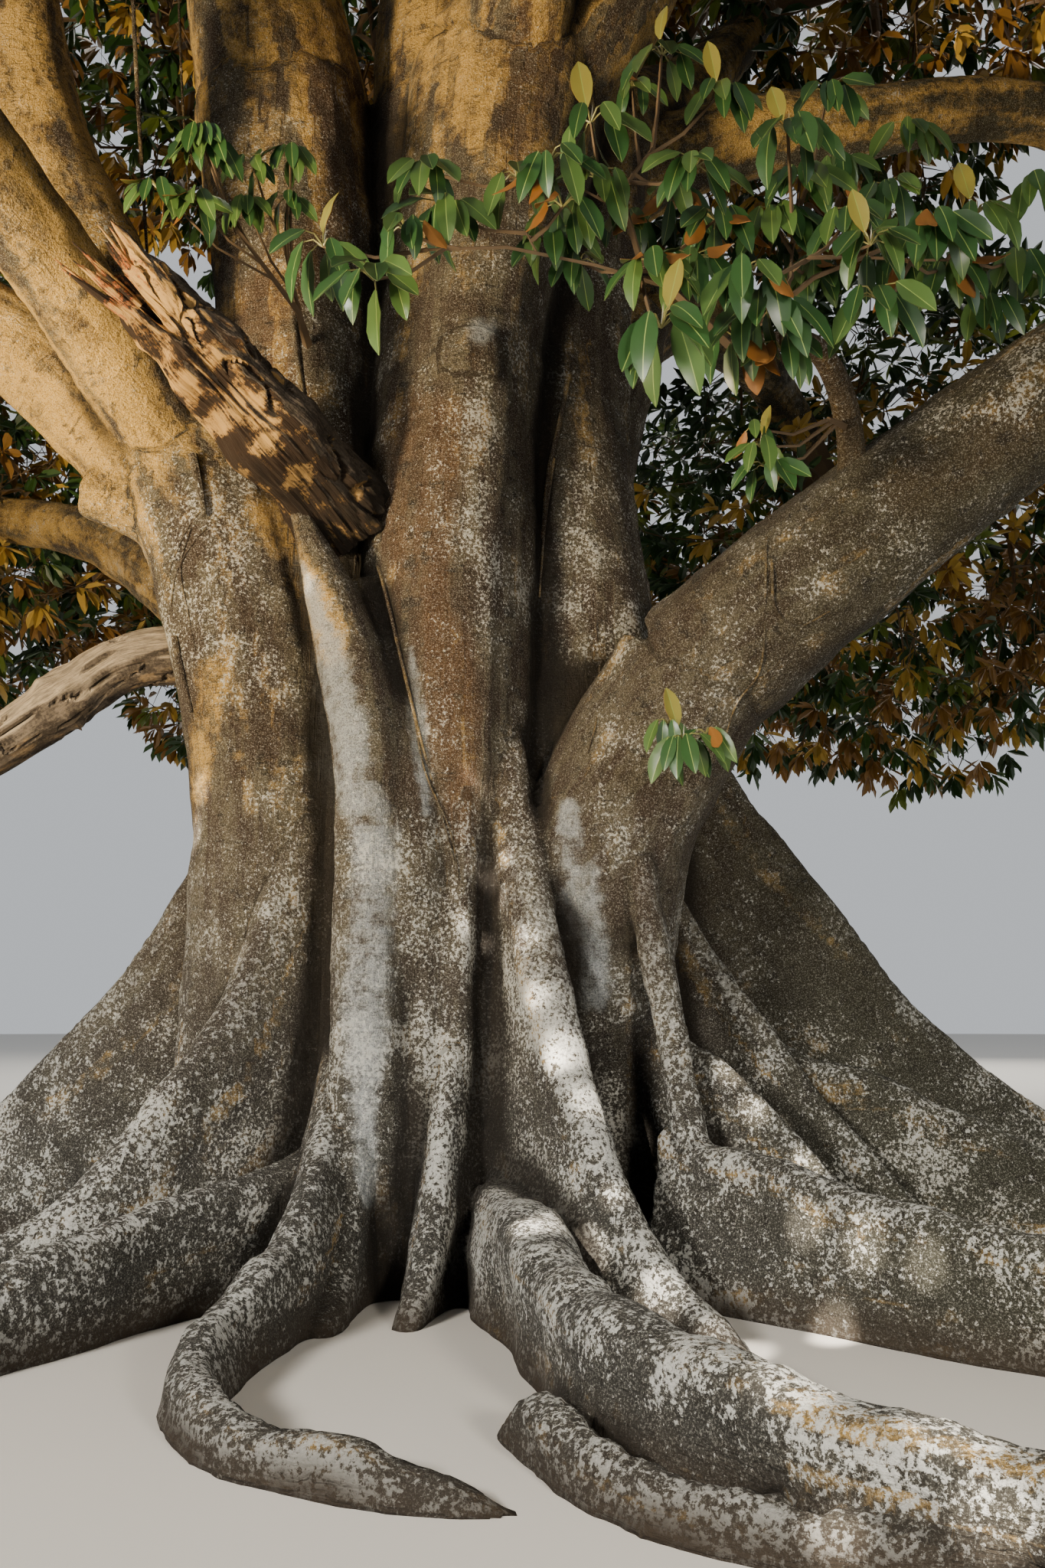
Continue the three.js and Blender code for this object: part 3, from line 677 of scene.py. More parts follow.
# %% The flat cut at the ground
DRAW_IN = 260
points = points_of(skin)
below = points[:, 2] < 0
here, there = neighbours_of(skin)
across = below[here] & ~below[there]
low, high = points[here[across]], points[there[across]]
spots = low + (high - low) * (low[:, 2] / (low[:, 2] - high[:, 2]))[:, None]
crossings = np.bincount(here[across], minlength=len(points))
outline, inner = crossings > 0, below & (crossings == 0)
for axis in range(2):
    total = np.bincount(here[across], spots[:, axis], len(points))
    points[outline, axis] = total[outline] / crossings[outline]
points[below, 2] = 0
number = np.cumsum(below) - 1
kept_ends = inner[here]
here, there = number[here[kept_ends]], number[there[kept_ends]]
flat, moving = points[below, :2], inner[below]
near = np.bincount(here, minlength=len(flat))[moving]
for _ in range(DRAW_IN):
    for axis in range(2):
        flat[moving, axis] = np.bincount(here, flat[there, axis], len(flat))[moving] / near
points[below, :2] = flat
place_points(skin, points)
print("flat at the ground:", int(below.sum()), "points")

# %% Hollows and crests
SMOOTH_COPY = 60
FULL_HOLLOW = 0.05
points, normals = points_of(skin), normals_of(skin)
# Painted shade: how deep each point lies in a hollow, by which the bark is darkened.
depth_of = ((spread_out(skin, points, SMOOTH_COPY) - points) * normals).sum(1)
keep_value(skin, "hollow", np.clip(spread_out(skin, depth_of, 4) / FULL_HOLLOW, -1, 1))
print("deepest hollow:", round(depth_of.max(), 3))

# %% [markdown]
# ## The bark's colours
#
# Fig bark is grey-brown and full of white flecks, where crusts of lichen sit. Low walls are darker, with
# larger white crusts on their crests. A smooth sinew runs down the front under the broken limb, bare and
# pale. The boughs that catch the sun get painted sunlight, golden tan. Each of these is a place on the
# tree, so it is kept as a number at each point, and the material mixes its colours by them.

# %% Places for the colours
# Between which values each of these fades in: the turn towards the eye, and lengths in metres.
FACES_THE_EYE = (0.02, 0.3)
BEHIND = (0.4, 0.9)
FAR_LEFT = (1.0, 2.4)
LEFT_HEIGHT = (3.8, 5.6)
SUNNY_HEIGHT = (6.2, 8.6)
# Soft strokes in the picture: each is a row of (u, v, half width) in the photograph's pixels.
STROKES = {
    "pale": [
        [(388, 734, 10), (432, 860, 24), (453, 1002, 42), (492, 1091, 33), (484, 1200, 33), (478, 1300, 34),
         (474, 1450, 22), (480, 1570, 10)],
        [(535, 850, 8), (545, 950, 13), (556, 1060, 9)],
        [(742, 1060, 18), (762, 1180, 32), (776, 1300, 24)],
        [(630, 432, 20)],
    ],
    "flecked": [
        [(335, 1600, 24), (290, 1760, 26), (310, 1880, 26), (420, 1930, 24), (600, 1965, 18)],
        [(560, 1700, 20), (640, 1560, 24), (800, 1640, 30), (1000, 1740, 34), (1300, 1870, 40)],
        [(620, 1080, 40), (640, 1250, 50)],
        [(300, 640, 50), (300, 860, 60)],
        [(640, 520, 30), (622, 640, 22), (640, 800, 18)],
        [(668, 980, 20), (690, 1160, 30), (720, 1330, 34), (800, 1500, 36)],
        [(800, 620, 60), (790, 790, 70)],
        [(1150, 560, 60), (1330, 470, 50)],
        [(560, 1200, 30), (570, 1500, 50)],
        [(610, 1080, 40), (640, 1200, 60), (670, 1300, 50)],
    ],
    # Painted sunlight: warm patches where the sun falls on the bark.
    "gold": [
        [(560, 10, 60), (590, 90, 46), (620, 180, 20)],
        [(30, 170, 30), (75, 270, 42), (120, 380, 40), (160, 470, 34)],
        [(350, 668, 30), (382, 740, 22), (430, 850, 20)],
        [(270, 880, 22), (262, 1010, 20), (215, 1140, 16)],
    ],
    "rust": [
        [(430, 60, 60), (450, 260, 40), (330, 420, 45), (380, 620, 60)],
        [(560, 560, 60), (540, 700, 50), (590, 900, 40), (600, 1080, 30)],
        [(1190, 640, 40), (1330, 560, 40)],
        [(700, 40, 60), (680, 200, 30)],
    ],
}


def seen_at(points):
    """The pixel at which each point shows in the photograph."""
    turned = np.array(camera.rotation_euler.to_matrix())
    local = (points - np.array(EYE)) @ turned
    ahead = np.maximum(-local[:, 2], 0.1)
    return local[:, 0] / ahead * FOCUS + PHOTO_SIZE[0] / 2, PHOTO_SIZE[1] / 2 - local[:, 1] / ahead * FOCUS


def stroke_cover(u, v, stroke):
    """1 inside a stroke, falling to 0 at one and a half times its width."""
    cover = np.zeros(len(u))
    for (u0, v0, w0), (u1, v1, w1) in zip(stroke, stroke[1:] or stroke):
        length = max((u1 - u0) ** 2 + (v1 - v0) ** 2, 1e-6)
        t = np.clip(((u - u0) * (u1 - u0) + (v - v0) * (v1 - v0)) / length, 0, 1)
        away = np.hypot(u - u0 - t * (u1 - u0), v - v0 - t * (v1 - v0)) / (w0 + t * (w1 - w0))
        cover = np.maximum(cover, 1 - smoothstep(away, 0.3, 1.7))
    return cover


u, v = seen_at(points)
toward = unit_rows(np.array(EYE) - points)
facing = smoothstep((normals * toward).sum(1), *FACES_THE_EYE) * (1 - smoothstep(points[:, 1], *BEHIND))
for name, strokes in STROKES.items():
    cover = np.max([stroke_cover(u, v, stroke) for stroke in strokes], axis=0) * facing
    # Painted sunlight: the strokes, the high boughs far to the left, and more softly all the high wood.
    if name == "gold":
        left_high = smoothstep(-points[:, 0], *FAR_LEFT) * smoothstep(points[:, 2], *LEFT_HEIGHT)
        cover = np.max([cover, 0.75 * left_high, 0.5 * smoothstep(points[:, 2], *SUNNY_HEIGHT)], axis=0)
    if name == "pale":
        around_back = np.clip(1.8 * wander(points * (1, 1, 0.45), 9, 1.1) - 0.35, 0, 1)
        cover = np.maximum(cover, 0.75 * around_back * smoothstep(points[:, 1], 0.3, 0.9))
    keep_value(skin, name, cover)


# %% A small language for materials
DULL_SHEEN = 0.25
BUMP_STRENGTH = 0.9


class Socket:
    """One output in a material's nodes. Plain arithmetic on it makes Math nodes."""

    def __init__(self, tree, output):
        self.tree = tree
        self.output = output

    def make(self, kind, settings=None, inputs=None, output=0):
        node = self.tree.nodes.new(kind)
        for name, value in (settings or {}).items():
            setattr(node, name, value)
        for name, value in (inputs or {}).items():
            if isinstance(value, Socket):
                self.tree.links.new(value.output, node.inputs[name])
            else:
                node.inputs[name].default_value = value
        return Socket(self.tree, node.outputs[output])

    def math(self, operation, *values, clamp=False):
        settings = {"operation": operation, "use_clamp": clamp}
        return self.make("ShaderNodeMath", settings, dict(enumerate(values)))

    def __add__(self, other):
        return self.math("ADD", self, other)

    def __radd__(self, other):
        return self.math("ADD", other, self)

    def __sub__(self, other):
        return self.math("SUBTRACT", self, other)

    def __rsub__(self, other):
        return self.math("SUBTRACT", other, self)

    def __mul__(self, other):
        return self.math("MULTIPLY", self, other)

    def times(self, factors):
        """A vector with each of its numbers multiplied."""
        return self.make("ShaderNodeVectorMath", {"operation": "MULTIPLY"}, {0: self, 1: factors})

    def step(self, low, high):
        """0 below low, 1 above high, and smooth between."""
        inputs = {"Value": self, "From Min": low, "From Max": high}
        return self.make("ShaderNodeMapRange", {"interpolation_type": "SMOOTHSTEP"}, inputs)

    def limited(self):
        return self.math("ADD", self, 0.0, clamp=True)

    def mix(self, first, second):
        """The first colour where this value is 0, and the second where it is 1."""
        settings = {"data_type": "RGBA", "clamp_factor": True}
        return self.make("ShaderNodeMix", settings, {0: self, 6: first, 7: second}, output=2)


def colour(red, green, blue):
    return (red, green, blue, 1.0)


def new_material(name, roughness):
    """A material with its shader and a starting socket: the piece's own coordinates."""
    material = bpy.data.materials.new(name)
    material.use_nodes = True
    shader = material.node_tree.nodes["Principled BSDF"]
    shader.inputs["Roughness"].default_value = roughness
    shader.inputs["Specular IOR Level"].default_value = DULL_SHEEN
    start = Socket(material.node_tree, None)
    return material, shader, start.make("ShaderNodeTexCoord", output="Object")


def noise_of(place, scale, detail=4.0, roughness=0.55):
    inputs = {"Vector": place, "Scale": scale, "Detail": detail, "Roughness": roughness}
    return place.make("ShaderNodeTexNoise", None, inputs)


def kept(place, name, output="Fac"):
    """What keep_value stored under this name."""
    return place.make("ShaderNodeAttribute", {"attribute_name": name}, output=output)


def along_axis(place, axis):
    return place.make("ShaderNodeSeparateXYZ", None, {"Vector": place}, output=axis)


def finish_with(shader, base, height):
    """Links a colour and a height in metres to a shader."""
    inputs = {"Height": height, "Distance": 1.0, "Strength": BUMP_STRENGTH}
    bump = height.make("ShaderNodeBump", None, inputs, output="Normal")
    base.tree.links.new(base.output, shader.inputs["Base Color"])
    base.tree.links.new(bump.output, shader.inputs["Normal"])


# %% Bark
BROWN = colour(0.045, 0.028, 0.015)
GREY_BROWN = colour(0.1, 0.082, 0.049)
LOW_DARK = colour(0.036, 0.036, 0.032)
RUST_BROWN = colour(0.1, 0.048, 0.016)
# Painted sunlight, golden tan.
SUNLIT_TAN = colour(0.55, 0.34, 0.085)
SHADE_OLIVE = colour(0.032, 0.032, 0.015)
FLECK = colour(0.5, 0.485, 0.43)
CRUST = colour(0.49, 0.49, 0.46)
BARE_PALE = colour(0.325, 0.345, 0.35)
# Soil stain and painted shade at the foot.
FOOT_SOIL_AND_SHADE = colour(0.03, 0.021, 0.013)
# Near black, for the bark's dark cracks and specks, and for painted shade in its hollows.
CRACKS_AND_SHADE = colour(0.01, 0.007, 0.004)
BARK_PLACES = ("hollow", "pale", "gold", "rust", "flecked")
# Metres from the middle to the right where the shade begins and is full, and two heights to fade out at:
# the low walls, and the soil stain and painted shade at the foot.
IN_SHADE = (1.3, 2.9)
LOW_WALLS = (0.2, 3.2)
SOILED_AND_SHADED_FOOT = (0.0, 0.28)


def make_bark():
    material, shader, place = new_material("bark", 0.9)
    height, shaded = along_axis(place, "Z"), along_axis(place, "X").step(*IN_SHADE)
    own = kept(place, "own", "Vector")
    hollow, pale, gold, rust, flecked = (kept(place, name) for name in BARK_PLACES)
    broad, patchy = noise_of(place, 0.8, 3.0), noise_of(place, 2.6, 5.0, 0.6)
    mottled, grain = noise_of(place, 11.0, 6.0, 0.65), noise_of(place, 52.0, 5.0, 0.7)
    crusty, speck = noise_of(place, 26.0, 6.0, 0.7), noise_of(place, 110.0, 2.0, 0.8)
    streaks = noise_of(own.times((12, 12, 1.1)), 1.0, 4.0, 0.6)
    stains = noise_of(own.times((5, 5, 0.5)), 1.0, 4.0, 0.6)
    folds = noise_of(own.times((2.5, 2.5, 44)), 1.0, 4.0, 0.6)

    ground = 1.0 - height.step(*LOW_WALLS)
    base = (patchy * 0.4 + streaks * 0.6).step(0.42, 0.58).mix(BROWN, GREY_BROWN)
    base = ((rust + (patchy - 0.5) * 2 + (stains - 0.5) * 1.5).step(0.25, 1.3) * 0.75).mix(base, RUST_BROWN)
    base = (ground * (1.1 - patchy * 0.5)).limited().mix(base, LOW_DARK)
    base = (shaded * 0.6).mix(base, SHADE_OLIVE)
    # Painted sunlight, golden tan on the boughs that catch the sun.
    sunny = gold + (patchy - 0.5) * 2.0 + (stains - 0.5) * 3.0 + (mottled - 0.5) * 1.6
    base = (sunny.step(0.22, 1.2) * 0.9).mix(base, SUNLIT_TAN)
    bare = pale + (patchy - 0.5) * 1.5 + (mottled - 0.5) * 1.8 + (stains - 0.5) * 1.2 + (folds - 0.5) * 1.0
    base = (bare.step(0.3, 1.25) * 0.85).mix(base, BARE_PALE)

    cracked = (mottled * 0.45 + folds * 0.3 + streaks * 0.25).step(0.52, 0.6) * (0.75 - pale * 0.45)
    base = cracked.mix(base, CRACKS_AND_SHADE)
    base = (speck.step(0.5, 0.62) * 0.55).mix(base, CRACKS_AND_SHADE)
    base = ((1.0 - speck).step(0.52, 0.66) * 0.3).mix(base, FLECK)

    thick = (patchy - 0.5) * 0.4 + (broad - 0.5) * 0.25 + (mottled - 0.5) * 0.15
    thick = thick + flecked * 0.06 + ground * 0.03
    flecks = (grain * 0.85 + speck * 0.15 + thick - gold * 0.04).step(0.59, 0.64)
    base = (flecks * 0.85).mix(base, FLECK)
    crusty = crusty * 0.6 + grain * 0.25 + mottled * 0.15
    lichen = crusty + (patchy - 0.5) * 0.32 + flecked * 0.045 - hollow * 0.05 - shaded * 0.035
    crusts = lichen.step(0.55, 0.6)
    base = (crusts * ground * 0.85).mix(base, CRUST)
    # Soil stain and painted shade at the foot, where the wood meets the floor.
    base = ((1.0 - height.step(*SOILED_AND_SHADED_FOOT)) * (0.4 + patchy)).limited().mix(base, FOOT_SOIL_AND_SHADE)
    # Painted shade: the hollows darken towards near black.
    base = (hollow.step(0.15, 1.0) * 0.9).mix(base, CRACKS_AND_SHADE)

    relief = grain * 0.014 + mottled * 0.06 + crusty * 0.02 + folds * 0.014 + streaks * 0.05
    finish_with(shader, base, relief)
    return material


bark = make_bark()

# %% [markdown]
# ## One skin, many limbs
#
# The library wants a piece for each bough, so the fused skin is parted a little way up each bough, where
# it stands clear. The shading must not show that cut. So the direction that the whole skin faces at each
# point is kept first, and given back to the parts afterwards. The cut ends are closed inside the wood.

# %% Parting the skin
CAP_DEPTH = 0.2
WIDE_RING = 40
CLEAR_OF_STEM = 1.2
CLEAR_OF_TRUNK = 1.6


def open_rings(shape):
    """The open edges of a mesh, a list for each cut, always in the same order."""
    open_edges = dict.fromkeys(edge for edge in shape.edges if edge.is_boundary)
    while open_edges:
        ring, waiting = [], [next(iter(open_edges))]
        while waiting:
            edge = waiting.pop()
            if edge in open_edges:
                del open_edges[edge]
                ring.append(edge)
                waiting.extend(e for vertex in edge.verts for e in vertex.link_edges if e in open_edges)
        yield ring


def cap_ends(edge):
    """An open edge's two points, in the order in which a cap's face runs along it."""
    first, second = edge.verts
    return (second, first) if edge.link_loops[0].vert == first else (first, second)


def close_cuts(mesh):
    """Closes each open end with a fan of faces round a point that lies inside the wood."""
    shape = bmesh.new()
    shape.from_mesh(mesh)
    for ring in list(open_rings(shape)):
        middle = sum((edge.verts[0].co + edge.verts[1].co for edge in ring), Vector()) / (2 * len(ring))
        out_of_cut = Vector()
        for edge in ring:
            first, second = cap_ends(edge)
            out_of_cut += (first.co - middle).cross(second.co - middle)
        depth = CAP_DEPTH * min(1, len(ring) / WIDE_RING)
        centre = shape.verts.new(middle - out_of_cut.normalized() * depth)
        for edge in ring:
            shape.faces.new((*cap_ends(edge), centre))
    shape.to_mesh(mesh)
    shape.free()


def bough_labels():
    """0 for a point of the trunk and a number from 1 for each bough, past the place where it stands clear."""
    owner = np.round(value_of(skin, "limb")).astype(int)
    along = value_of(skin, "own")[:, 2]
    labels = np.zeros(len(owner), int)
    for i, (name, bough) in enumerate(BOUGHS.items()):
        clear = CLEAR_OF_STEM if "stem" in bough else CLEAR_OF_TRUNK
        if "inside" in bough:
            clear += math.dist(bough["inside"], bough["out"])
        clear_part = (owner == limb_names.index(name)) & (along > clear)
        labels[spread_out(skin, clear_part.astype(float), 4) > 0.5] = i + 1
    return labels.astype(np.int32)


def part_skin():
    """Parts the skin by labels and closes the cuts. Gives back the pieces by their numbers."""
    corners = all_of(skin.loops, "vertex_index", kind=np.int32)
    starts = all_of(skin.polygons, "loop_start", kind=np.int32)
    labels = bough_labels()
    skin.materials.clear()
    for i in range(len(BOUGHS) + 1):
        skin.materials.append(bpy.data.materials.new(f"part_{i}"))
    skin.polygons.foreach_set("material_index", labels[corners[starts]])
    keep_value(skin, "facing", normals_of(skin))
    only(wood)
    bpy.ops.mesh.separate(type="MATERIAL")
    parts = {}
    for piece in bpy.context.selected_objects:
        parts[int(piece.data.materials[0].name.split("_")[1])] = piece
        close_cuts(piece.data)
        piece.data.normals_split_custom_set_from_vertices(unit_rows(value_of(piece.data, "facing")))
        piece.data.attributes.remove(piece.data.attributes["facing"])
    return parts


bark_tree = BVHTree.FromObject(wood, bpy.context.evaluated_depsgraph_get())
parts = part_skin()
for i, piece in sorted(parts.items()):
    node = ["trunk", *BOUGHS][i]
    hand_over(piece, f"{node}_bark", [node], bark)

# %% [markdown]
# ## Dead wood
#
# Two limbs are dead. The one over the sinew snapped long ago. Its upper side still wears cracked plates of
# dark bark, its under side is torn down to orange fibres, and its end is a hollow with splinters round it.
# The one on the left is bare and grey, with long cracks and a dark knot. Each is rolled like the other
# limbs, with a finer grid, and its own wounds are carved into it while it is rolled.

# %% The broken limb
BROKEN_PATH = [(-0.7, -0.95, 4.83), (-1.05, -1.5, 5.15), (-1.56, -2.0, 5.56), (-2.02, -2.39, 5.92)]
BROKEN_RADII = (0.36, 0.31, 0.275, 0.21)
BROKEN_ROW = 0.017
TORN_SIDE = np.array((-0.55, -0.3, -0.78))
TORN_DEPTH = 0.055
PLATE_HEIGHT = 0.018
CRACK_DEPTH = 0.05
FIBRE_HEIGHT = 0.03
TOOTH_LENGTH = 0.26
SWELLING = dict(height=0.06, at=0.85, length=0.2)
LIP = 0.95
SOCKET_DEPTH = 0.5


def torn_cover(outward, own):
    """1 on the torn under side and 0 on the side that still has bark."""
    return smoothstep(outward @ TORN_SIDE + 0.35 * wander(own * (3, 3, 1.6), 12), -0.05, 0.3)


def carve_broken(share, outward, own):
    torn = torn_cover(outward, own)
    fibres = wander(own * (30, 30, 2.4), 13) + 0.6 * wander(own * (60, 60, 5), 14)
    plates = np.abs(wander(own * (7, 7, 3.4), 15))
    cracks = 1 - smoothstep(plates, 0.02, 0.11)
    bark_side = PLATE_HEIGHT - CRACK_DEPTH * cracks + 0.02 * wander(own * (22, 22, 10), 16)
    torn_side = -TORN_DEPTH + FIBRE_HEIGHT * fibres + 0.03 * wander(own * (5, 5, 3), 17)
    push = torn * torn_side + (1 - torn) * bark_side
    teeth = wander(own * (13, 13, 0), 18) + 0.5 * wander(own * (34, 34, 0), 19)
    swelling = SWELLING["height"] * np.exp(-(((own[:, 2] - SWELLING["at"]) / SWELLING["length"]) ** 2))
    push = push + 0.05 * wander(own * (4, 4, 2.6), 20) + swelling * torn
    back = (TOOTH_LENGTH * teeth + 0.22 * torn) * smoothstep(share, 0.62, LIP)
    inside = np.clip((share - LIP) / (1 - LIP), 0, 1)
    push = push * (1 - inside) - inside * (0.15 + 0.02 * teeth)
    return push, back + SOCKET_DEPTH * inside


broken = limb(
    "broken", BROKEN_PATH, BROKEN_RADII, columns=120, rough=0.6, seed=30, row=BROKEN_ROW, carve=carve_broken)

# %% Its splinters
SPLINTERS = 11
SPLINTER_ROOT = 0.13
SPLINTER_POINT = 0.003
line, _ = smooth_line(BROKEN_PATH, 60)
tangents, across, square = frames_along(line)
draw = random_from(77)
splinters = []
for i in range(SPLINTERS):
    angle = 2 * math.pi * (i + 0.6 * next(draw)) / SPLINTERS
    outward = across[-5] * math.cos(angle) - square[-5] * math.sin(angle)
    root = line[-11] + outward * SPLINTER_ROOT
    tip = line[-2] + outward * (0.17 + 0.06 * next(draw)) + tangents[-1] * (0.22 * next(draw) - 0.04)
    thick = 0.018 + 0.02 * next(draw)
    path, radii = [root, (root + tip) / 2, tip], (thick, thick * 0.8, SPLINTER_POINT)
    splinters.append(limb("splinter", path, radii, 7, row=0.05, rough=0.3))
only(broken, *splinters)
bpy.ops.object.join()

# %% The bare limb on the left
BARE_PATH = [
    (-1.5, -0.45, 4.05), (-2.25, -0.56, 3.98), (-2.75, -0.64, 3.6), (-3.4, -0.72, 3.15), (-4.28, -0.85, 2.86)]
BARE_RADII = (0.2, 0.175, 0.175, 0.15, 0.1)
BARE_ROW = 0.022
BARE_CRACK_DEPTH = 0.035
BARE_TOOTH_LENGTH = 0.35
BARE_LIP = 0.985
KNOT_AT = 1.27
KNOT_LENGTH = 0.16
KNOT_HEIGHT = 0.055


def knot_cover(own):
    shifted = own[:, 2] - KNOT_AT - 0.09 * wander(own * (7, 7, 1), 36)
    return np.exp(-((shifted / KNOT_LENGTH) ** 2)) * np.clip(0.6 + 0.9 * wander(own * (5, 5, 3), 37), 0, 1)


def carve_bare(share, _, own):
    cracks = 1 - smoothstep(np.abs(wander(own * (9, 9, 1.5), 31)), 0.0, 0.07)
    push = 0.01 - BARE_CRACK_DEPTH * cracks + 0.012 * wander(own * (24, 24, 3), 32)
    push = push + knot_cover(own) * (KNOT_HEIGHT + 0.06 * wander(own * (11, 11, 9), 33))
    teeth = BARE_TOOTH_LENGTH * wander(own * (20, 20, 0), 34) * smoothstep(share, 0.9, BARE_LIP)
    inside = smoothstep(share, BARE_LIP, 1)
    return push - 0.06 * inside, teeth + 0.2 * inside


bare = limb("bare", BARE_PATH, BARE_RADII, columns=72, rough=0.8, seed=35, row=BARE_ROW, carve=carve_bare)

# %% Dead wood, its colours
TORN_LIGHT = colour(0.34, 0.205, 0.07)
TORN_OCHRE = colour(0.135, 0.065, 0.018)
TORN_RED = colour(0.3, 0.075, 0.014)
TORN_DARK = colour(0.022, 0.012, 0.006)
DEAD_BARK = colour(0.03, 0.022, 0.015)
DEAD_GREY = colour(0.14, 0.11, 0.08)
BLEACHED = colour(0.34, 0.27, 0.185)


def make_dead_wood():
    material, shader, place = new_material("dead_wood", 0.85)
    own = kept(place, "own", "Vector")
    torn, dark, red, bleached = (kept(place, name) for name in ("torn", "dark", "red", "bleached"))
    fibres = noise_of(own.times((80, 80, 7)), 1.0, 5.0, 0.7)
    plates = noise_of(own.times((11, 11, 6)), 1.0, 5.0, 0.6)
    patchy, grain = noise_of(place, 5.0, 4.0), noise_of(place, 60.0, 4.0, 0.6)
    barked = (plates * 0.5 + grain * 0.3 + fibres * 0.2).step(0.42, 0.6).mix(DEAD_BARK, DEAD_GREY)
    raw = (red + (patchy - 0.5) * 0.8).step(0.3, 0.9).mix(TORN_OCHRE, TORN_RED)
    fresh = (fibres * 0.6 + grain * 0.4 + (patchy - 0.5) * 1.3).step(0.4, 0.62).mix(raw, TORN_LIGHT)
    rotted = (1.0 - fibres) * 0.55 + grain * 0.45 - (patchy - 0.5) * 1.5 + dark * 0.2
    fresh = rotted.step(0.44, 0.6).mix(fresh, TORN_DARK)
    base = (torn + (plates - 0.5) * 0.8).step(0.3, 0.7).mix(barked, fresh)
    grey = (fibres * 0.7 + plates * 0.3).step(0.4, 0.6).mix(DEAD_GREY, BLEACHED)
    base = (bleached * (patchy + 0.35)).step(0.3, 0.7).mix(base, grey)
    base = (dark + (plates - 0.5) * 0.5).step(0.6, 1.0).mix(base, CRACKS_AND_SHADE)
    finish_with(shader, base, fibres * 0.014 + plates * 0.014 + grain * 0.004)
    return material


dead_wood = make_dead_wood()

# %% Dead wood, its places
def cracks_in(piece, times, full):
    """1 where a piece lies deeper than its own smoothed copy, by the full depth or more."""
    points = points_of(piece.data)
    inward = ((spread_out(piece.data, points, times) - points) * normals_of(piece.data)).sum(1)
    return smoothstep(inward, 0.004, full)


own = value_of(broken.data, "own")
along = own[:, 2]
outward = normals_of(broken.data)
_, length = smooth_line(BROKEN_PATH, 4)
splintered = value_of(broken.data, "limb") > limb_names.index("broken")
at_tip = np.where(splintered, 1, smoothstep(along, length * 0.86, length * 0.97))
keep_value(broken.data, "torn", np.maximum(torn_cover(outward, own), at_tip))
deep = cracks_in(broken, 14, 0.03)
hollow_base = 0.9 * (1 - smoothstep(along, 0.2, 0.7)) * smoothstep(outward[:, 0], -0.5, 0.1)
worn = 0.75 * (1 - smoothstep(along + 0.25 * wander(own * (4, 4, 2), 21), 0.7, 1.35))
keep_value(broken.data, "dark", np.where(splintered, 0, np.max([deep, hollow_base, worn], axis=0)))
keep_value(broken.data, "red", np.where(splintered, 1, 0.9 * smoothstep(along, length * 0.8, length)))
keep_value(broken.data, "bleached", 0.3 * smoothstep(outward[:, 2], 0.1, 0.8) * (1 - at_tip))
own, upward = value_of(bare.data, "own"), normals_of(bare.data)[:, 2]
deep = cracks_in(bare, 10, 0.02)
keep_value(bare.data, "torn", 0.4 * smoothstep(-upward, 0.0, 0.8))
keep_value(bare.data, "red", 0.0)
keep_value(bare.data, "dark", np.maximum(deep, 0.7 * smoothstep(knot_cover(own), 0.3, 0.9)))
keep_value(bare.data, "bleached", smoothstep(upward, -0.5, 0.3))
hand_over(broken, "broken_limb_torn", ["broken_limb"], dead_wood)
hand_over(bare, "dead_limb_bare", ["dead_limb"], dead_wood)

# %% [markdown]
# ## Roots in the air
#
# A banyan lets thin roots down from its boughs. Some hang free and some lie on the bark all the way down.
# Each is drawn by where it shows in the picture: a ray through the pixel finds the bark, and the root
# lies on it. The two that hang free stay at one depth.

# %% Roots in the air
# Each is a radius and the pixels that the root passes.
AERIAL_ROOTS = [
    (0.022, [(383, 415), (391, 480), (399, 545), (404, 600)]),
    (0.034, [(252, 596), (261, 636), (268, 676)]),
    (0.024, [(230, 832), (240, 880), (252, 930)]),
    (0.009, [(452, 634), (466, 655), (464, 730), (459, 802)]),
    (0.013, [(456, 632), (478, 690), (502, 765), (522, 850), (546, 950), (574, 1055), (596, 1132)]),
    (0.007, [(540, 930), (556, 1010), (588, 1085), (600, 1150)]),
    (0.02, [(742, 492), (730, 560), (716, 622), (708, 704)]),
    (0.011, [(724, 600), (712, 680), (704, 780)]),
    (0.011, [(1006, 676), (1009, 740), (1014, 796), (1040, 818), (1084, 798)]),
    (0.009, [(1004, 676), (1001, 720), (997, 850), (988, 884), (962, 918), (948, 958)]),
    (0.007, [(778, 812), (783, 877), (780, 939), (769, 984)]),
    (0.005, [(782, 884), (796, 872), (814, 866)]),
    (0.008, [(262, 668), (240, 700), (222, 745), (212, 775)]),
    (0.007, [(270, 690), (248, 716), (230, 752), (224, 792)]),
    (0.006, [(205, 690), (236, 690), (262, 678)]),
    (0.007, [(250, 690), (236, 740), (246, 800), (256, 850)]),
]
# Each is a radius, a depth and the pixels.
FREE_ROOTS = [
    (0.016, -0.55, [(172, -40), (180, 130), (192, 330)]),
    (0.012, 1.6, [(232, -40), (238, 120), (246, 250)]),
]
LYING_TAPER = (1, 0.85, 0.55)
HANGING_TAPER = (1, 1, 0.7)


def on_bark(u, v, lift, fallback):
    """Where the ray through a pixel meets the bark, lifted off it a little."""
    hit, normal, _, distance = bark_tree.ray_cast(EYE, ray_through(u, v))
    if hit is None:
        return EYE + ray_through(u, v) * fallback, fallback
    return hit + normal * lift, distance


def thin_root(path, radius, taper, row):
    return limb("aerial_root", path, [radius * share for share in taper], 9, rough=0.12, row=row)


def bark_all_over(piece, **places):
    """The same bark on the whole of a piece. A place for the colours that isn't named is 0."""
    for name in BARK_PLACES:
        keep_value(piece.data, name, places.get(name, 0.0))


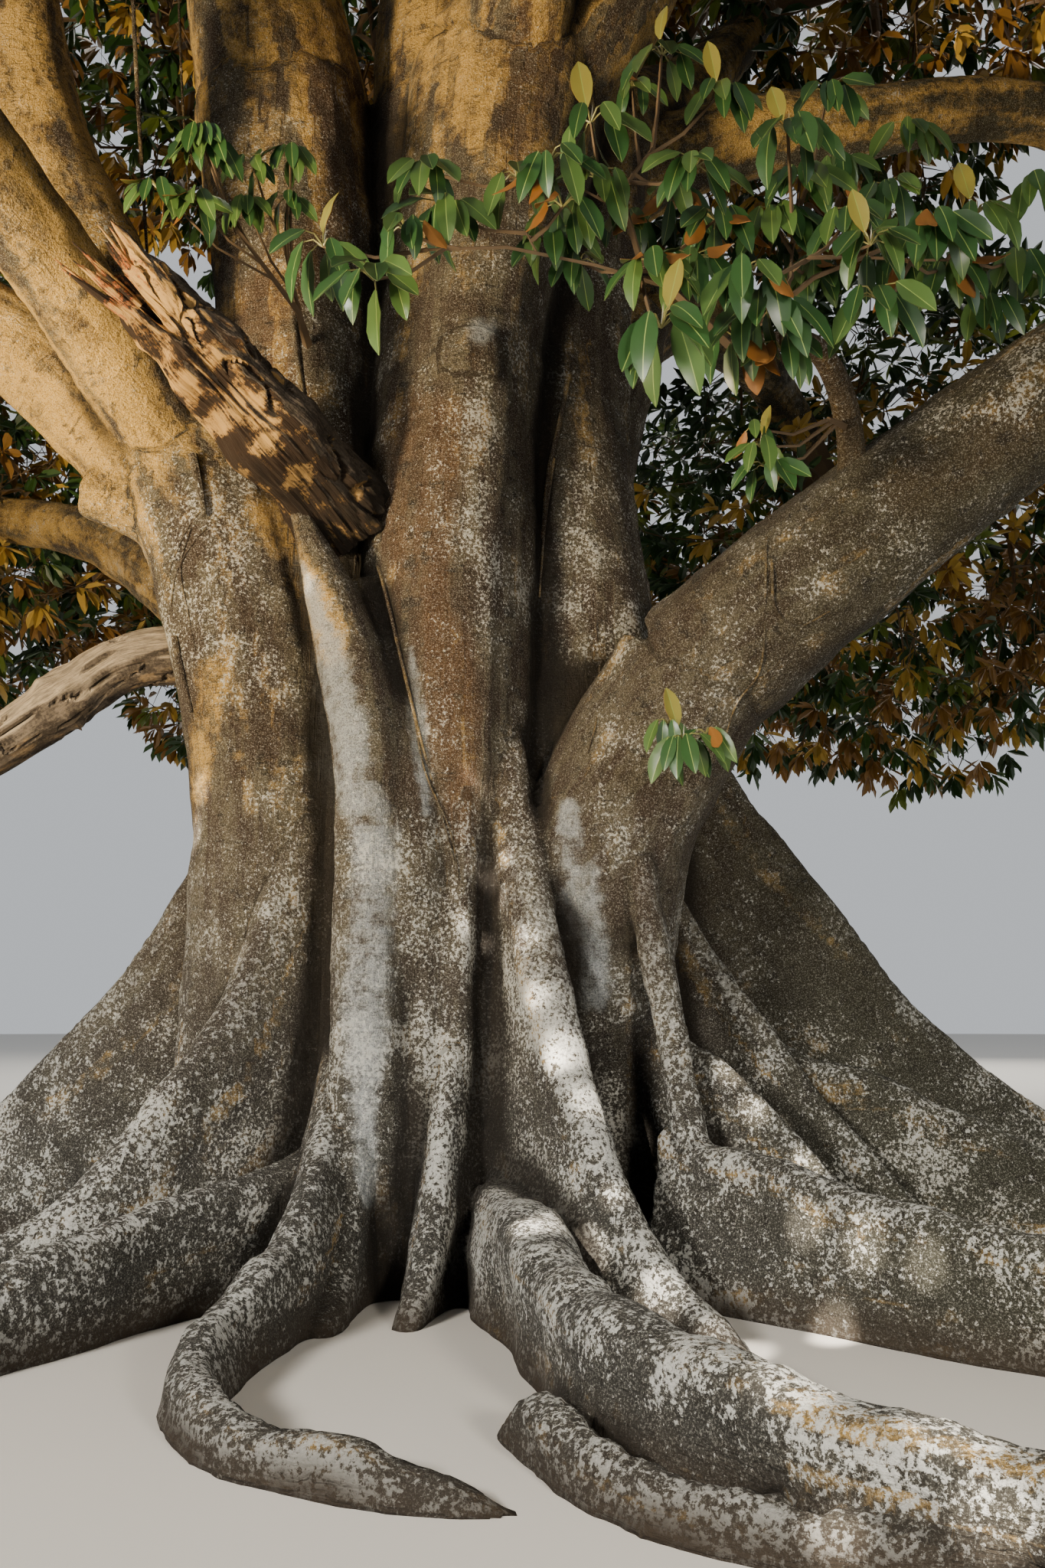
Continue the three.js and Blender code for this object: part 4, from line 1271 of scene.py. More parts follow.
aerial = []
for radius, pixels in AERIAL_ROOTS:
    path, distance = [], 8.0
    for u, v in pixels:
        point, distance = on_bark(u, v, radius * 0.6, distance)
        path.append(tuple(point))
    aerial.append(thin_root(path, radius, LYING_TAPER, 0.04))
for radius, level, pixels in FREE_ROOTS:
    path = [in_picture(u, v, level) for u, v in pixels]
    aerial.append(thin_root(path, radius, HANGING_TAPER, 0.05))
only(*aerial)
bpy.ops.object.join()
# The aerial roots get some painted sunlight too.
bark_all_over(aerial[0], pale=0.25, gold=0.4, rust=0.2)
hand_over(aerial[0], "aerial_roots", (), bark)

# %% [markdown]
# ## How the crown grows
#
# The source's rule of growth is written again here, with far more places to feed. A twig feeds a set of
# places. While they are many the set is split in two across its longest side. The twig grows on towards
# the half ahead of it, and a side twig leaves a little way back for the other half. When few are left,
# a leaf spray goes to each. Spray places lie evenly over the mass, two in three near its outside, which
# swells and sinks in clumps as a real crown does, and the rest inside. They reach past the mass towards
# the masses beside it, so the crown closes, but hardly past the tree's own edge.

# %% The rule of growth
GOLDEN_ANGLE = math.pi * (3 - math.sqrt(5))
ROOT_INSET = 0.04
TWIG_TAPER = 0.72
# Beyond this far from the middle, and above this height, a place keeps only half of what it goes too far.
CROWN_EDGE = (12.9, 12.8, 19.6)
VALLEYS = dict(scale=2.2, level=0.12, depth=0.6)
# How much further a mass's leaves go than its space, to meet the masses beside it.
BRIDGES = {
    "outer": dict(inward=0.14, around=0.26, up=0.2, down=0),
    "upper": dict(inward=0.2, around=0.34, up=0.1, down=0.42),
    "top": dict(inward=0.25, around=0.25, up=0, down=0.75),
}
GROWTH = dict(per_fork=5, stride=0.6, fork_step=0.3, leaf_step=0.19)


def spray_places(centre, space, count, draw, bridge):
    """Where a mass has its leaf sprays."""
    outward = unit(centre * (1, 1, 0)) if bridge["up"] else np.array([1.0, 0, 0])
    around_ring = np.array([-outward[1], outward[0], 0])
    places = []
    for i in range(count):
        up = 1 - (2 * i + 1) / count
        around = i * GOLDEN_ANGLE + 0.5 * next(draw)
        flat = math.sqrt(1 - up * up)
        direction = np.array([math.cos(around) * flat, math.sin(around) * flat, up])
        bulge = noise.noise(Vector(direction) * VALLEYS["scale"] + Vector(centre))
        valley = max(VALLEYS["level"] - bulge, 0)
        depth = 1.0 - VALLEYS["depth"] * valley - 0.08 * next(draw)
        if i % 3 == 2:
            depth *= 0.5 + 0.4 * next(draw)
        offset = direction * depth * space
        offset = offset + outward * min(offset @ outward, 0) * bridge["inward"]
        offset = offset + around_ring * (offset @ around_ring) * bridge["around"]
        offset[2] *= 1 + (bridge["up"] if offset[2] > 0 else bridge["down"])
        place = offset + centre
        beyond = np.maximum(np.abs(place) - CROWN_EDGE, 0)
        places.append(place - np.sign(place) * beyond * 0.5)
    return np.array(places)


def grow_from(points, radii, places, twig_radius, count, twigs, sprays):
    """Grows twigs and sprays to the places, by the rule."""
    before, tip = points[-2:]
    ahead = unit(tip - before)

    def lead(place):
        return unit(place - tip) @ ahead

    def root_at(step):
        return tip + (before - tip) * (ROOT_INSET + step)

    if len(places) <= GROWTH["per_fork"]:
        twigs.append((points, radii))
        for i, place in enumerate(sorted(places, key=lead, reverse=True)):
            sprays.append((root_at(GROWTH["leaf_step"] * i), place))
        return
    axis = np.argmax(np.ptp(places, axis=0))
    ordered = places[np.argsort(places[:, axis])]
    half = math.ceil(len(ordered) / 2)
    halves = (ordered[:half], ordered[half:])
    main, side = sorted(halves, key=lambda group: lead(group.mean(0)), reverse=True)
    thick_main, thick_side = (twig_radius * math.sqrt(len(group) / count) for group in (main, side))
    onward = tip + (main.mean(0) - tip) * GROWTH["stride"]
    grow_from([*points, onward], [*radii, thick_main], main, twig_radius, count, twigs, sprays)
    root = root_at(GROWTH["fork_step"])
    start = [root, root + (side.mean(0) - root) * GROWTH["stride"]]
    grow_from(start, [thick_side, thick_side * TWIG_TAPER], side, twig_radius, count, twigs, sprays)


# %% Pieces from arrays
THICK_TWIG = 0.09
THICK_SIDES = 7
THIN_SIDES = 4
THIRDS_OF_A_TURN = (0, 2.094, 4.189)


def leafy_piece(name, nodes, materials, points, faces, slots=None, smooth=None):
    """A piece of twigs or leaves made from arrays, and handed over. The slots array gives each face its
    material. The smooth angle, in degrees, is the sharpest edge that is shaded round."""
    mesh = bpy.data.meshes.new(name)
    mesh.from_pydata(np.asarray(points), [], faces if isinstance(faces, list) else faces.tolist())
    for material in materials:
        mesh.materials.append(material)
    if slots is not None:
        mesh.polygons.foreach_set("material_index", np.asarray(slots, np.int32))
    mesh.update()
    piece = bpy.data.objects.new(name, mesh)
    bpy.context.collection.objects.link(piece)
    if smooth:
        only(piece)
        bpy.ops.object.shade_smooth_by_angle(angle=math.radians(smooth))
    hand_over(piece, name, nodes)


def twig_tubes(twigs):
    """Points and faces of tapering tubes, four-sided where thin and seven-sided where thick."""
    all_points, all_faces, count = [], [], 0
    for points, radii in twigs:
        line, radii = np.array(points), np.array(radii)
        sides = THICK_SIDES if radii.max() > THICK_TWIG else THIN_SIDES
        ahead = unit_rows(np.gradient(line, axis=0))
        spare = np.eye(3)[np.argmin(np.abs(ahead).max(0))]
        across = unit_rows(np.cross(ahead, spare))
        square = np.cross(ahead, across)
        turn = (np.arange(sides) * 2 * math.pi / sides)[None, :, None]
        ring = np.cos(turn) * across[:, None] + np.sin(turn) * square[:, None]
        all_points.append((line[:, None] + ring * radii[:, None, None]).reshape(-1, 3))
        last = count + (len(line) - 1) * sides
        for row in range(count, last, sides):
            for k in range(sides):
                a, b = row + k, row + (k + 1) % sides
                all_faces.append((a, b, b + sides, a + sides))
        all_faces.append(tuple(reversed(range(count, count + sides))))
        all_faces.append(tuple(range(last, last + sides)))
        count = last + sides
    return np.concatenate(all_points), all_faces


def spikes(roots, tips, radii):
    """Points and faces of three-sided spikes, which carry the sprays."""
    ahead = unit_rows(tips - roots)
    across = unit_rows(np.cross(ahead, (0.31, 0.17, 0.93)))
    square = np.cross(ahead, across)
    around = [across * math.cos(turn) + square * math.sin(turn) for turn in THIRDS_OF_A_TURN]
    points = np.stack([*(roots + side * radii[:, None] for side in around), tips], 1).reshape(-1, 3)
    start = np.arange(len(roots)) * 4
    sides = [np.column_stack([start + a, start + b, start + 3]) for a, b in ((0, 1), (1, 2), (2, 0))]
    base = np.column_stack([start + 2, start + 1, start])
    return points, np.concatenate([*sides, base])


# %% [markdown]
# ## Leaves
#
# A crown leaf is two faces, folded a little along its midrib, in the outline of a fig leaf: widest past the
# middle, with a short tip. Eight of them sit round the end of each spur and droop. A few sprays are young
# and paler. Many that hang low or inside are rusty or gold, as old leaves and undersides are, and the gold
# is also painted light: the glow of leaves lit through from behind. So each spray gets one plain colour by
# where it hangs, with a repeatable draw between neighbours.

# %% Crown leaves
CROWN_LEAF = np.array([
    (0, 0, 0), (0.36, 0.17, 0.05), (0.74, 0.15, 0.03), (1, 0, -0.1), (0.74, -0.15, 0.03), (0.36, -0.17, 0.05),
])
CROWN_LEAF_FACES = ((0, 3, 2, 1), (0, 5, 4, 3))
LEAVES_IN_SPRAY = 8
CROWN_LEAF_LENGTH = 0.33
LEAF_LEAN = 1.35
LEAF_DROOP = 0.5
LEAF_SPACING = 0.02
LEAF_COLOURS = {
    "deep": colour(0.018, 0.05, 0.012),
    "green": colour(0.04, 0.092, 0.018),
    "fresh": colour(0.14, 0.19, 0.03),
    "rust": colour(0.24, 0.125, 0.028),
    # Golden old leaves and undersides, painted brighter as if lit through from behind.
    "gold": colour(0.46, 0.3, 0.055),
}
TWIG_COLOUR = colour(0.12, 0.08, 0.045)
GLOSSY_SHEEN = 0.5


def plain_material(name, tint, roughness=0.42, sheen=GLOSSY_SHEEN):
    material, shader, _ = new_material(name, roughness)
    shader.inputs["Base Color"].default_value = tint
    shader.inputs["Specular IOR Level"].default_value = sheen
    return material


leaf_materials = {name: plain_material(f"leaf_{name}", tint) for name, tint in LEAF_COLOURS.items()}
twig_material = plain_material("twig", TWIG_COLOUR, 0.85, DULL_SHEEN)


def leaf_frames(places, ahead, rng):
    """Places and directions of leaves set round spur ends by the golden angle, drooping with their weight."""
    count, sprays = LEAVES_IN_SPRAY, len(places)
    ahead = np.repeat(ahead, count, axis=0)
    places = np.repeat(places, count, axis=0)
    number = np.tile(np.arange(count), sprays)
    across = unit_rows(np.cross(ahead, (0.21, 0.13, 0.97)))
    square = np.cross(ahead, across)
    turn = number * GOLDEN_ANGLE + np.repeat(rng.uniform(0, 6.28, sprays), count)
    tilt = LEAF_LEAN * (0.35 + 0.65 * number / (count - 1)) + rng.normal(0, 0.12, len(number))
    tilt = np.clip(tilt, 0.15, 1.9)
    outward = across * np.cos(turn)[:, None] + square * np.sin(turn)[:, None]
    forward = ahead * np.cos(tilt)[:, None] + outward * np.sin(tilt)[:, None]
    forward[:, 2] -= LEAF_DROOP * rng.uniform(0.5, 1.3, len(number))
    forward = unit_rows(forward)
    side = np.cross((0, 0, 1.0), forward) + 0.35 * rng.normal(size=(len(number), 3))
    side = unit_rows(side - forward * (side * forward).sum(1)[:, None])
    return places - ahead * (LEAF_SPACING * number)[:, None], forward, side, np.cross(forward, side)


def dealt_out(model, faces, base, forward, side, up, length):
    """Copies of a small model at these places, turned and sized, as one set of points and faces."""
    along, across, above = (column[None, :, None] for column in np.asarray(model).T)
    turned = forward[:, None] * along + side[:, None] * across + up[:, None] * above
    points = base[:, None] + length[:, None, None] * turned
    starts = np.arange(len(base)) * len(model)
    all_faces = starts[:, None, None] + np.asarray(faces)[None]
    return points.reshape(-1, 3), all_faces.reshape(-1, np.shape(faces)[1])


# %% Growing the crown
RULE_COUNT = {"outer": 1700, "upper": 1300, "top": 1300}
TWIG_RADIUS = 0.13
SPUR_RADIUS = 0.011
STEM_LENGTH = 0.9
MOST_LEAVES = 45000
INSIDE = 0.8
# The share of golden and rusty sprays, how much of that is rusty, and the two steps of the greens.
GOLDEN = dict(inside=0.5, below=0.48, above=0.08)
RUSTY_SHARE = 0.6
DEEP_UP_TO = 0.48
GREEN_UP_TO = 0.86


def spray_shades(from_middle, rng):
    """A colour's name for each spray, by where it lies in its mass."""
    inside = np.linalg.norm(from_middle, axis=1) < INSIDE
    golden = np.where(from_middle[:, 2] < 0.0, GOLDEN["below"], GOLDEN["above"])
    golden = np.where(inside, GOLDEN["inside"], golden)
    first, second = rng.uniform(0, 1, len(inside)), rng.uniform(0, 1, len(inside))
    green = np.where(second < DEEP_UP_TO, "deep", np.where(second < GREEN_UP_TO, "green", "fresh"))
    return np.where(first < golden * RUSTY_SHARE, "rust", np.where(first < golden, "gold", green))


def grow_crown():
    """The twigs, the roots and ends of the spurs, and the leaves of each shade, of all the masses."""
    rng = np.random.default_rng(20400)
    twigs, spurs, leaves = [], [], {shade: [] for shade in LEAF_COLOURS}
    for i, bough in enumerate(BOUGHS.values()):
        ring, number = bough["mass"]
        centre, space = space_of(ring, number)
        count, draw, sprays = RULE_COUNT[ring], random_from(101 + 7 * i), []
        line, _ = smooth_line(bough_path(bough), 40)
        start = [line[-1], line[-1] + unit(line[-1] - line[-2]) * STEM_LENGTH]
        places = spray_places(centre, space, count, draw, BRIDGES[ring])
        grow_from(start, [bough["tip"], TWIG_RADIUS], places, TWIG_RADIUS, count, twigs, sprays)
        root, place = (np.array(part) for part in zip(*sprays))
        spurs.append((root, place))
        from_middle = (place - centre) / space
        ahead = unit_rows(unit_rows(place - root) * 0.6 + from_middle * 0.6)
        shades = spray_shades(from_middle, rng)
        frames = leaf_frames(place, ahead, rng)
        length = CROWN_LEAF_LENGTH * rng.uniform(0.75, 1.12, len(frames[0]))
        for shade, groups in leaves.items():
            chosen = np.repeat(shades == shade, LEAVES_IN_SPRAY)
            groups.append([part[chosen] for part in (*frames, length)])
    return twigs, *(np.concatenate(part) for part in zip(*spurs)), leaves


twigs, spur_roots, spur_ends, crown_leaves = grow_crown()
all_masses = [f"crown_{ring}_{k + 1}" for ring in RINGS for k in range(RINGS[ring]["count"])]
leafy_piece("crown_twigs", all_masses, [twig_material], *twig_tubes(twigs))
spurs = spikes(spur_roots, spur_ends, np.full(len(spur_roots), SPUR_RADIUS))
leafy_piece("crown_spurs", all_masses, [twig_material], *spurs)
for shade, groups in crown_leaves.items():
    leaves = [np.concatenate(part) for part in zip(*groups)]
    pieces = math.ceil(len(leaves[0]) / MOST_LEAVES)
    for k in range(pieces):
        dealt = dealt_out(CROWN_LEAF, CROWN_LEAF_FACES, *(part[k::pieces] for part in leaves))
        name = f"crown_leaves_{shade}" + (f"_{k + 1}" if pieces > 1 else "")
        leafy_piece(name, all_masses, [leaf_materials[shade]], *dealt)

# %% [markdown]
# ## Shoots near the eye
#
# A few shoots hang in front of the trunk, close enough to count their leaves. Each leaf has a long pale
# stalk, a glossy green face, a yellow midrib and a rusty underside. One leaf is modelled from a flat grid,
# given its outline row by row, and thickened. The thickening modifier also gives the under side its own
# finish. Copies of that leaf, bent a little more or less, are then dealt out in rosettes.

# %% A leaf seen close
LEAF_ROWS = (0, 0.07, 0.22, 0.42, 0.62, 0.8, 0.93, 1)
LEAF_HALF_WIDTHS = (0.012, 0.065, 0.145, 0.19, 0.185, 0.135, 0.06, 0.004)
LEAF_COLUMNS = 3
RIB_HALF_WIDTH = 0.007
LEAF_THICKNESS = 0.009
# How far each model bends down, and how steeply its halves fold up.
LEAF_BENDS = ((0.05, 0.35), (0.2, 0.25), (0.36, 0.15))


def close_leaf(bend, fold):
    """Points, faces and material numbers of a leaf one unit long that bends down by this much."""
    bpy.ops.object.select_all(action="DESELECT")
    last_row = len(LEAF_ROWS) - 1
    bpy.ops.mesh.primitive_grid_add(x_subdivisions=LEAF_COLUMNS, y_subdivisions=last_row, size=1)
    leaf = bpy.context.object
    flat = points_of(leaf.data) + 0.5
    row = np.rint(flat[:, 1] * last_row).astype(int)
    column = np.rint(flat[:, 0] * LEAF_COLUMNS).astype(int)
    t, half = np.array(LEAF_ROWS)[row], np.array(LEAF_HALF_WIDTHS)[row]
    rib = np.minimum(half, RIB_HALF_WIDTH)
    across = np.choose(column, (-half, -rib, rib, half))
    lift = fold * np.abs(across) + 0.02 * np.sin(11 * t) * np.abs(across) / 0.2 - bend * t**2
    place_points(leaf.data, np.column_stack([t, -across, lift]))
    ribs = [1 if set(column[list(face.vertices)]) == {1, 2} else 0 for face in leaf.data.polygons]
    for _ in range(4):
        leaf.data.materials.append(None)
    leaf.data.polygons.foreach_set("material_index", np.array(ribs, np.int32) * 2)
    shape_with(leaf, "SOLIDIFY", thickness=LEAF_THICKNESS, material_offset=1, material_offset_rim=1)
    mesh = leaf.data
    faces = np.array([list(face.vertices) for face in mesh.polygons])
    slots = np.array([face.material_index for face in mesh.polygons])
    points = points_of(mesh)
    bpy.data.objects.remove(leaf)
    return points, faces, slots


LEAF_MODELS = [close_leaf(bend, fold) for bend, fold in LEAF_BENDS]
print("close leaf:", len(LEAF_MODELS[0][1]), "faces")

# %% Leaf finishes seen close
CLOSE_LEAVES = {
    "deep": (colour(0.024, 0.066, 0.018), colour(0.045, 0.06, 0.014)),
    "green": (colour(0.056, 0.108, 0.026), colour(0.06, 0.075, 0.016)),
    "young": (colour(0.19, 0.17, 0.034), colour(0.3, 0.15, 0.022)),
    "rusty": (colour(0.12, 0.075, 0.015), colour(0.22, 0.09, 0.014)),
}
RIB_COLOUR = colour(0.2, 0.27, 0.07)
STALK_COLOUR = colour(0.24, 0.22, 0.07)
BUD_COLOUR = colour(0.62, 0.58, 0.42)
rib_material = plain_material("leaf_rib", RIB_COLOUR)
stalk_material = plain_material("leaf_stalk", STALK_COLOUR, 0.5)
bud_material = plain_material("bud", BUD_COLOUR, 0.5)

# %% Where the rosettes show in the picture
# Each is (u, v, depth y, size of its leaves, how many, 1 where a young leaf stands up).
FRONT_ROSETTES = [
    (864, 72, -3.6, 0.22, 7, 1), (772, 160, -3.9, 0.24, 8, 1), (941, 122, -3.8, 0.2, 8, 1),
    (826, 116, -3.3, 0.17, 6, 0), (1029, 174, -4.1, 0.24, 10, 1), (1080, 124, -3.7, 0.2, 7, 0),
    (1188, 168, -3.4, 0.2, 7, 0), (907, 220, -4.0, 0.22, 9, 0), (718, 210, -4.0, 0.22, 8, 0),
    (779, 232, -3.8, 0.22, 8, 0), (1217, 294, -4.0, 0.23, 10, 0), (1137, 320, -4.2, 0.22, 9, 1),
    (1275, 280, -3.7, 0.22, 9, 1), (1348, 245, -3.6, 0.22, 7, 0), (975, 357, -4.2, 0.25, 10, 0),
    (864, 428, -4.3, 0.26, 10, 1), (1143, 389, -4.1, 0.24, 7, 0), (935, 287, -3.7, 0.24, 9, 0),
    (718, 310, -3.7, 0.22, 7, 0), (757, 342, -3.6, 0.2, 6, 0), (674, 230, -3.9, 0.2, 6, 0),
    (815, 290, -3.5, 0.2, 7, 0), (1010, 282, -3.7, 0.23, 9, 0), (1060, 350, -3.4, 0.22, 9, 0),
    (1235, 352, -3.4, 0.22, 9, 0), (1180, 330, -3.3, 0.22, 8, 0), (554, 224, -3.9, 0.2, 8, 0),
    (582, 276, -3.8, 0.23, 9, 0), (422, 322, -4.0, 0.22, 8, 1), (488, 366, -4.1, 0.24, 9, 0),
    (1330, 340, -3.3, 0.22, 9, 0), (1290, 395, -3.2, 0.2, 7, 0), (850, 345, -3.9, 0.22, 9, 0),
    (905, 345, -3.8, 0.23, 9, 0), (880, 250, -3.6, 0.2, 8, 0), (1000, 400, -4.1, 0.24, 8, 0),
    (960, 440, -3.9, 0.22, 6, 0), (1045, 230, -3.8, 0.22, 9, 0), (1095, 215, -3.5, 0.2, 8, 0),
    (1110, 285, -3.9, 0.22, 8, 0), (1160, 250, -3.6, 0.21, 8, 0), (735, 270, -3.9, 0.21, 7, 0),
    (530, 300, -4.0, 0.21, 7, 0), (1020, 455, -3.9, 0.2, 6, 0),
]
LEFT_ROSETTES = [
    (261, 172, -2.0, 0.22, 8, 0), (268, 186, -1.9, 0.26, 10, 0), (379, 196, -1.7, 0.20, 9, 0),
    (321, 268, -1.7, 0.21, 9, 0), (254, 262, -1.9, 0.23, 10, 0), (375, 262, -1.6, 0.20, 8, 0),
    (330, 215, -1.7, 0.20, 8, 0), (205, 245, -2.0, 0.22, 8, 0),
]
SPRIG_ROSETTES = [(892, 968, -2.15, 0.24, 10, 1), (872, 945, -2.1, 0.2, 5, 0), (922, 958, -2.1, 0.2, 5, 0)]
HANGING_ROSETTES = [(993, 584, -2.9, 0.2, 6, 1), (1000, 610, -2.9, 0.19, 5, 0), (985, 560, -2.9, 0.15, 4, 0)]

# %% Rosettes of leaves
UP = np.array([0, 0, 1.0])
TO_LIGHT = np.array([-0.3, -0.9, 0.15])
HANGING_PITCH = -1.35
STANDING_PITCH = 1.35
BROUGHT_FORWARD = 0.65
RUSTY_UP_TO = 0.09
CLOSE_GREEN_UP_TO = 0.42
STALK_RADII = [0.005, 0.0038, 0.0032]
BUD_RADIUS = 0.007


def rosette(place, size, count, young, draw, kinds, tubes, buds):
    """Leaves round a shoot's end: old ones hang with their faces to the light, a young one stands up."""
    first = 2 * math.pi * next(draw)
    for i in range(count):
        around = first + i * GOLDEN_ANGLE
        if math.sin(around) > 0 and next(draw) < BROUGHT_FORWARD:
            around = -around
        outward = np.array([math.cos(around), math.sin(around), 0])
        pitch = HANGING_PITCH + 1.0 * next(draw) * (i / count) ** 0.5
        stands = young and i == count - 1
        if stands:
            pitch = STANDING_PITCH
        forward = outward * math.cos(pitch) + UP * math.sin(pitch)
        chance = next(draw)
        kind = "rusty" if chance < RUSTY_UP_TO else "green" if chance < CLOSE_GREEN_UP_TO else "deep"
        kind = "young" if stands else kind
        shown = (UP * math.cos(pitch) - outward * math.sin(pitch)) * 0.35 + TO_LIGHT
        shown = shown + np.array([next(draw) - 0.5, 0, next(draw) - 0.5]) * 0.9
        normal = unit(shown - forward * (shown @ forward)) * (-1 if kind == "rusty" else 1)
        side = np.cross(normal, forward)
        stalk = size * (0.28 + 0.2 * next(draw))
        base = place + outward * stalk * math.cos(pitch / 3) * (0.3 if stands else 1)
        base = base + UP * stalk * (0.45 + 0.2 * pitch)
        bow = (place + base) / 2 + UP * stalk * 0.22
        tubes.append(([place, bow, base + forward * size * 0.04], STALK_RADII))
        length = size * (0.85 + 0.35 * next(draw))
        kinds[kind][min(int(3 * next(draw)), 2)].append((base, forward, side, normal, length))
    if young:
        buds.append((place, place + np.array([0.01, 0, 0.45 * size]), BUD_RADIUS))


# %% Growing a shoot
STEM_RADII = [0.012, 0.009, 0.007]
TWIG_SMOOTH = 60
LEAF_SMOOTH = 45


def close_shoot(name, node, start, radii, rosettes, twig_radius, seed):
    """Twigs by the rule of growth to the rosettes' places, and the rosettes."""
    draw = random_from(seed)
    places = np.array([in_picture(u, v, level) for u, v, level, *_ in rosettes])
    twigs, sprays, tubes, buds = [], [], [], []
    grow_from([np.array(p) for p in start], radii, places, twig_radius, len(places), twigs, sprays)
    for root, place in sprays:
        bow = (root + place) / 2 - (0, 0, 0.1 * np.linalg.norm(place - root))
        twigs.append(([root, bow, place], STEM_RADII))
    kinds = {kind: [[], [], []] for kind in CLOSE_LEAVES}
    for place, (_, _, _, size, count, young) in zip(places, rosettes):
        rosette(place, size, count, young, draw, kinds, tubes, buds)
    leafy_piece(f"{name}_twigs", [node], [twig_material], *twig_tubes(twigs), smooth=TWIG_SMOOTH)
    leafy_piece(f"{name}_stalks", [node], [stalk_material], *twig_tubes(tubes), smooth=TWIG_SMOOTH)
    if buds:
        spiked = spikes(*(np.array(part) for part in zip(*buds)))
        leafy_piece(f"{name}_buds", [node], [bud_material], *spiked)
    for kind, groups in kinds.items():
        points, faces, slots, count = [], [], [], 0
        for (model, model_faces, model_slots), leaves in zip(LEAF_MODELS, groups):
            if leaves:
                more, more_faces = dealt_out(model, model_faces, *(np.array(part) for part in zip(*leaves)))
                points.append(more)
                faces.append(more_faces + count)
                slots.append(np.tile(model_slots, len(leaves)))
                count += len(more)
        if count:
            top, under = close_materials[kind]
            finishes = [top, under, rib_material, under]
            arrays = (np.concatenate(part) for part in (points, faces, slots))
            leafy_piece(f"{name}_leaves_{kind}", [node], finishes, *arrays, smooth=LEAF_SMOOTH)


close_materials = {
    kind: (plain_material(f"close_{kind}_top", top, 0.33), plain_material(f"close_{kind}_under", under, 0.6))
    for kind, (top, under) in CLOSE_LEAVES.items()
}

# %% The four shoots
SHOOT_BRANCH = [(2.45, -1.95, 4.35), (2.38, -2.3, 4.85), (2.05, -2.9, 5.0), (1.6, -3.3, 4.78)]
branch = limb("shoot_branch", SHOOT_BRANCH, (0.085, 0.075, 0.06, 0.045), 14, rough=0.25, row=0.05)
# A little painted sunlight on the shoot branch.
bark_all_over(branch, gold=0.1, rust=1.0)
hand_over(branch, "shoot_branch_bark", ["shoot_branch"], bark)
before, end = (np.array(point) for point in SHOOT_BRANCH[-2:])
start = [end - unit(end - before) * 0.02, end + unit(end - before) * 0.15]
close_shoot("front", "shoot_front", start, [0.044, 0.026], FRONT_ROSETTES, 0.026, 31)


def seat_on_bark(outside, toward):
    """Where a line from outside meets the bark."""
    hit, _, _, _ = bark_tree.ray_cast(Vector(outside), Vector(toward) - Vector(outside))
    return np.array(hit)


seat = seat_on_bark((-1.03, -2.0, 6.15), (-1.03, 0, 6.15))
start = [seat + (0.02, 0.2, 0), seat + (0, -0.3, 0.1)]
close_shoot("left", "shoot_left", start, [0.045, 0.024], LEFT_ROSETTES, 0.022, 47)
seat = seat_on_bark((1.42, -3.0, 3.13), (1.42, 0, 3.13))
start = [seat + (0, 0.03, 0), seat + (0, -0.06, 0)]
close_shoot("sprig", "shoot_sprig", start, [0.02, 0.012], SPRIG_ROSETTES, 0.012, 53)
seat = np.array(SHOOT_BRANCH[1])
start = [seat, seat + (-0.2, -0.3, -0.1)]
close_shoot("hanging", "shoot_front", start, [0.03, 0.014], HANGING_ROSETTES, 0.014, 61)

# %% [markdown]
# ## Stage and light
#
# The tree stands on a pale plain floor under a pale sky, and soft lamps stand round it. The patches of sun
# that the picture shows on the bark are light too, and no colour of the bark. Each comes from a narrow
# lamp of its own, aimed along a ray at the place where the picture shows it.

# %% The floor and the sky
FLOOR_RADIUS = 150
FLOOR_COLOUR = colour(0.5, 0.48, 0.45)
SKY_COLOUR = colour(0.86, 0.9, 0.95)
SKY_STRENGTH = 0.65
bpy.ops.object.select_all(action="DESELECT")
bpy.ops.mesh.primitive_circle_add(vertices=96, radius=FLOOR_RADIUS, fill_type="NGON")
floor = bpy.context.object
floor.name = "floor"
floor.data.materials.append(plain_material("floor", FLOOR_COLOUR, 0.9, DULL_SHEEN))
floor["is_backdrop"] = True
world = bpy.data.worlds.new("world")
bpy.context.scene.world = world
world.use_nodes = True
sky = world.node_tree.nodes["Background"]
sky.inputs["Color"].default_value = SKY_COLOUR
sky.inputs["Strength"].default_value = SKY_STRENGTH


# %% Soft lamps
def area_light(name, at, aim, size, power, tint, spread=180):
    """A round lamp at one place, aimed at another, with its spread in degrees."""
    data = bpy.data.lights.new(name, "AREA")
    data.shape = "DISK"
    data.size = size
    data.energy = power
    data.color = tint
    data.spread = math.radians(spread)
    light = bpy.data.objects.new(name, data)
    light.location = at
    light.rotation_euler = (Vector(aim) - Vector(at)).to_track_quat("-Z", "Y").to_euler()
    light.visible_camera = False
    bpy.context.collection.objects.link(light)


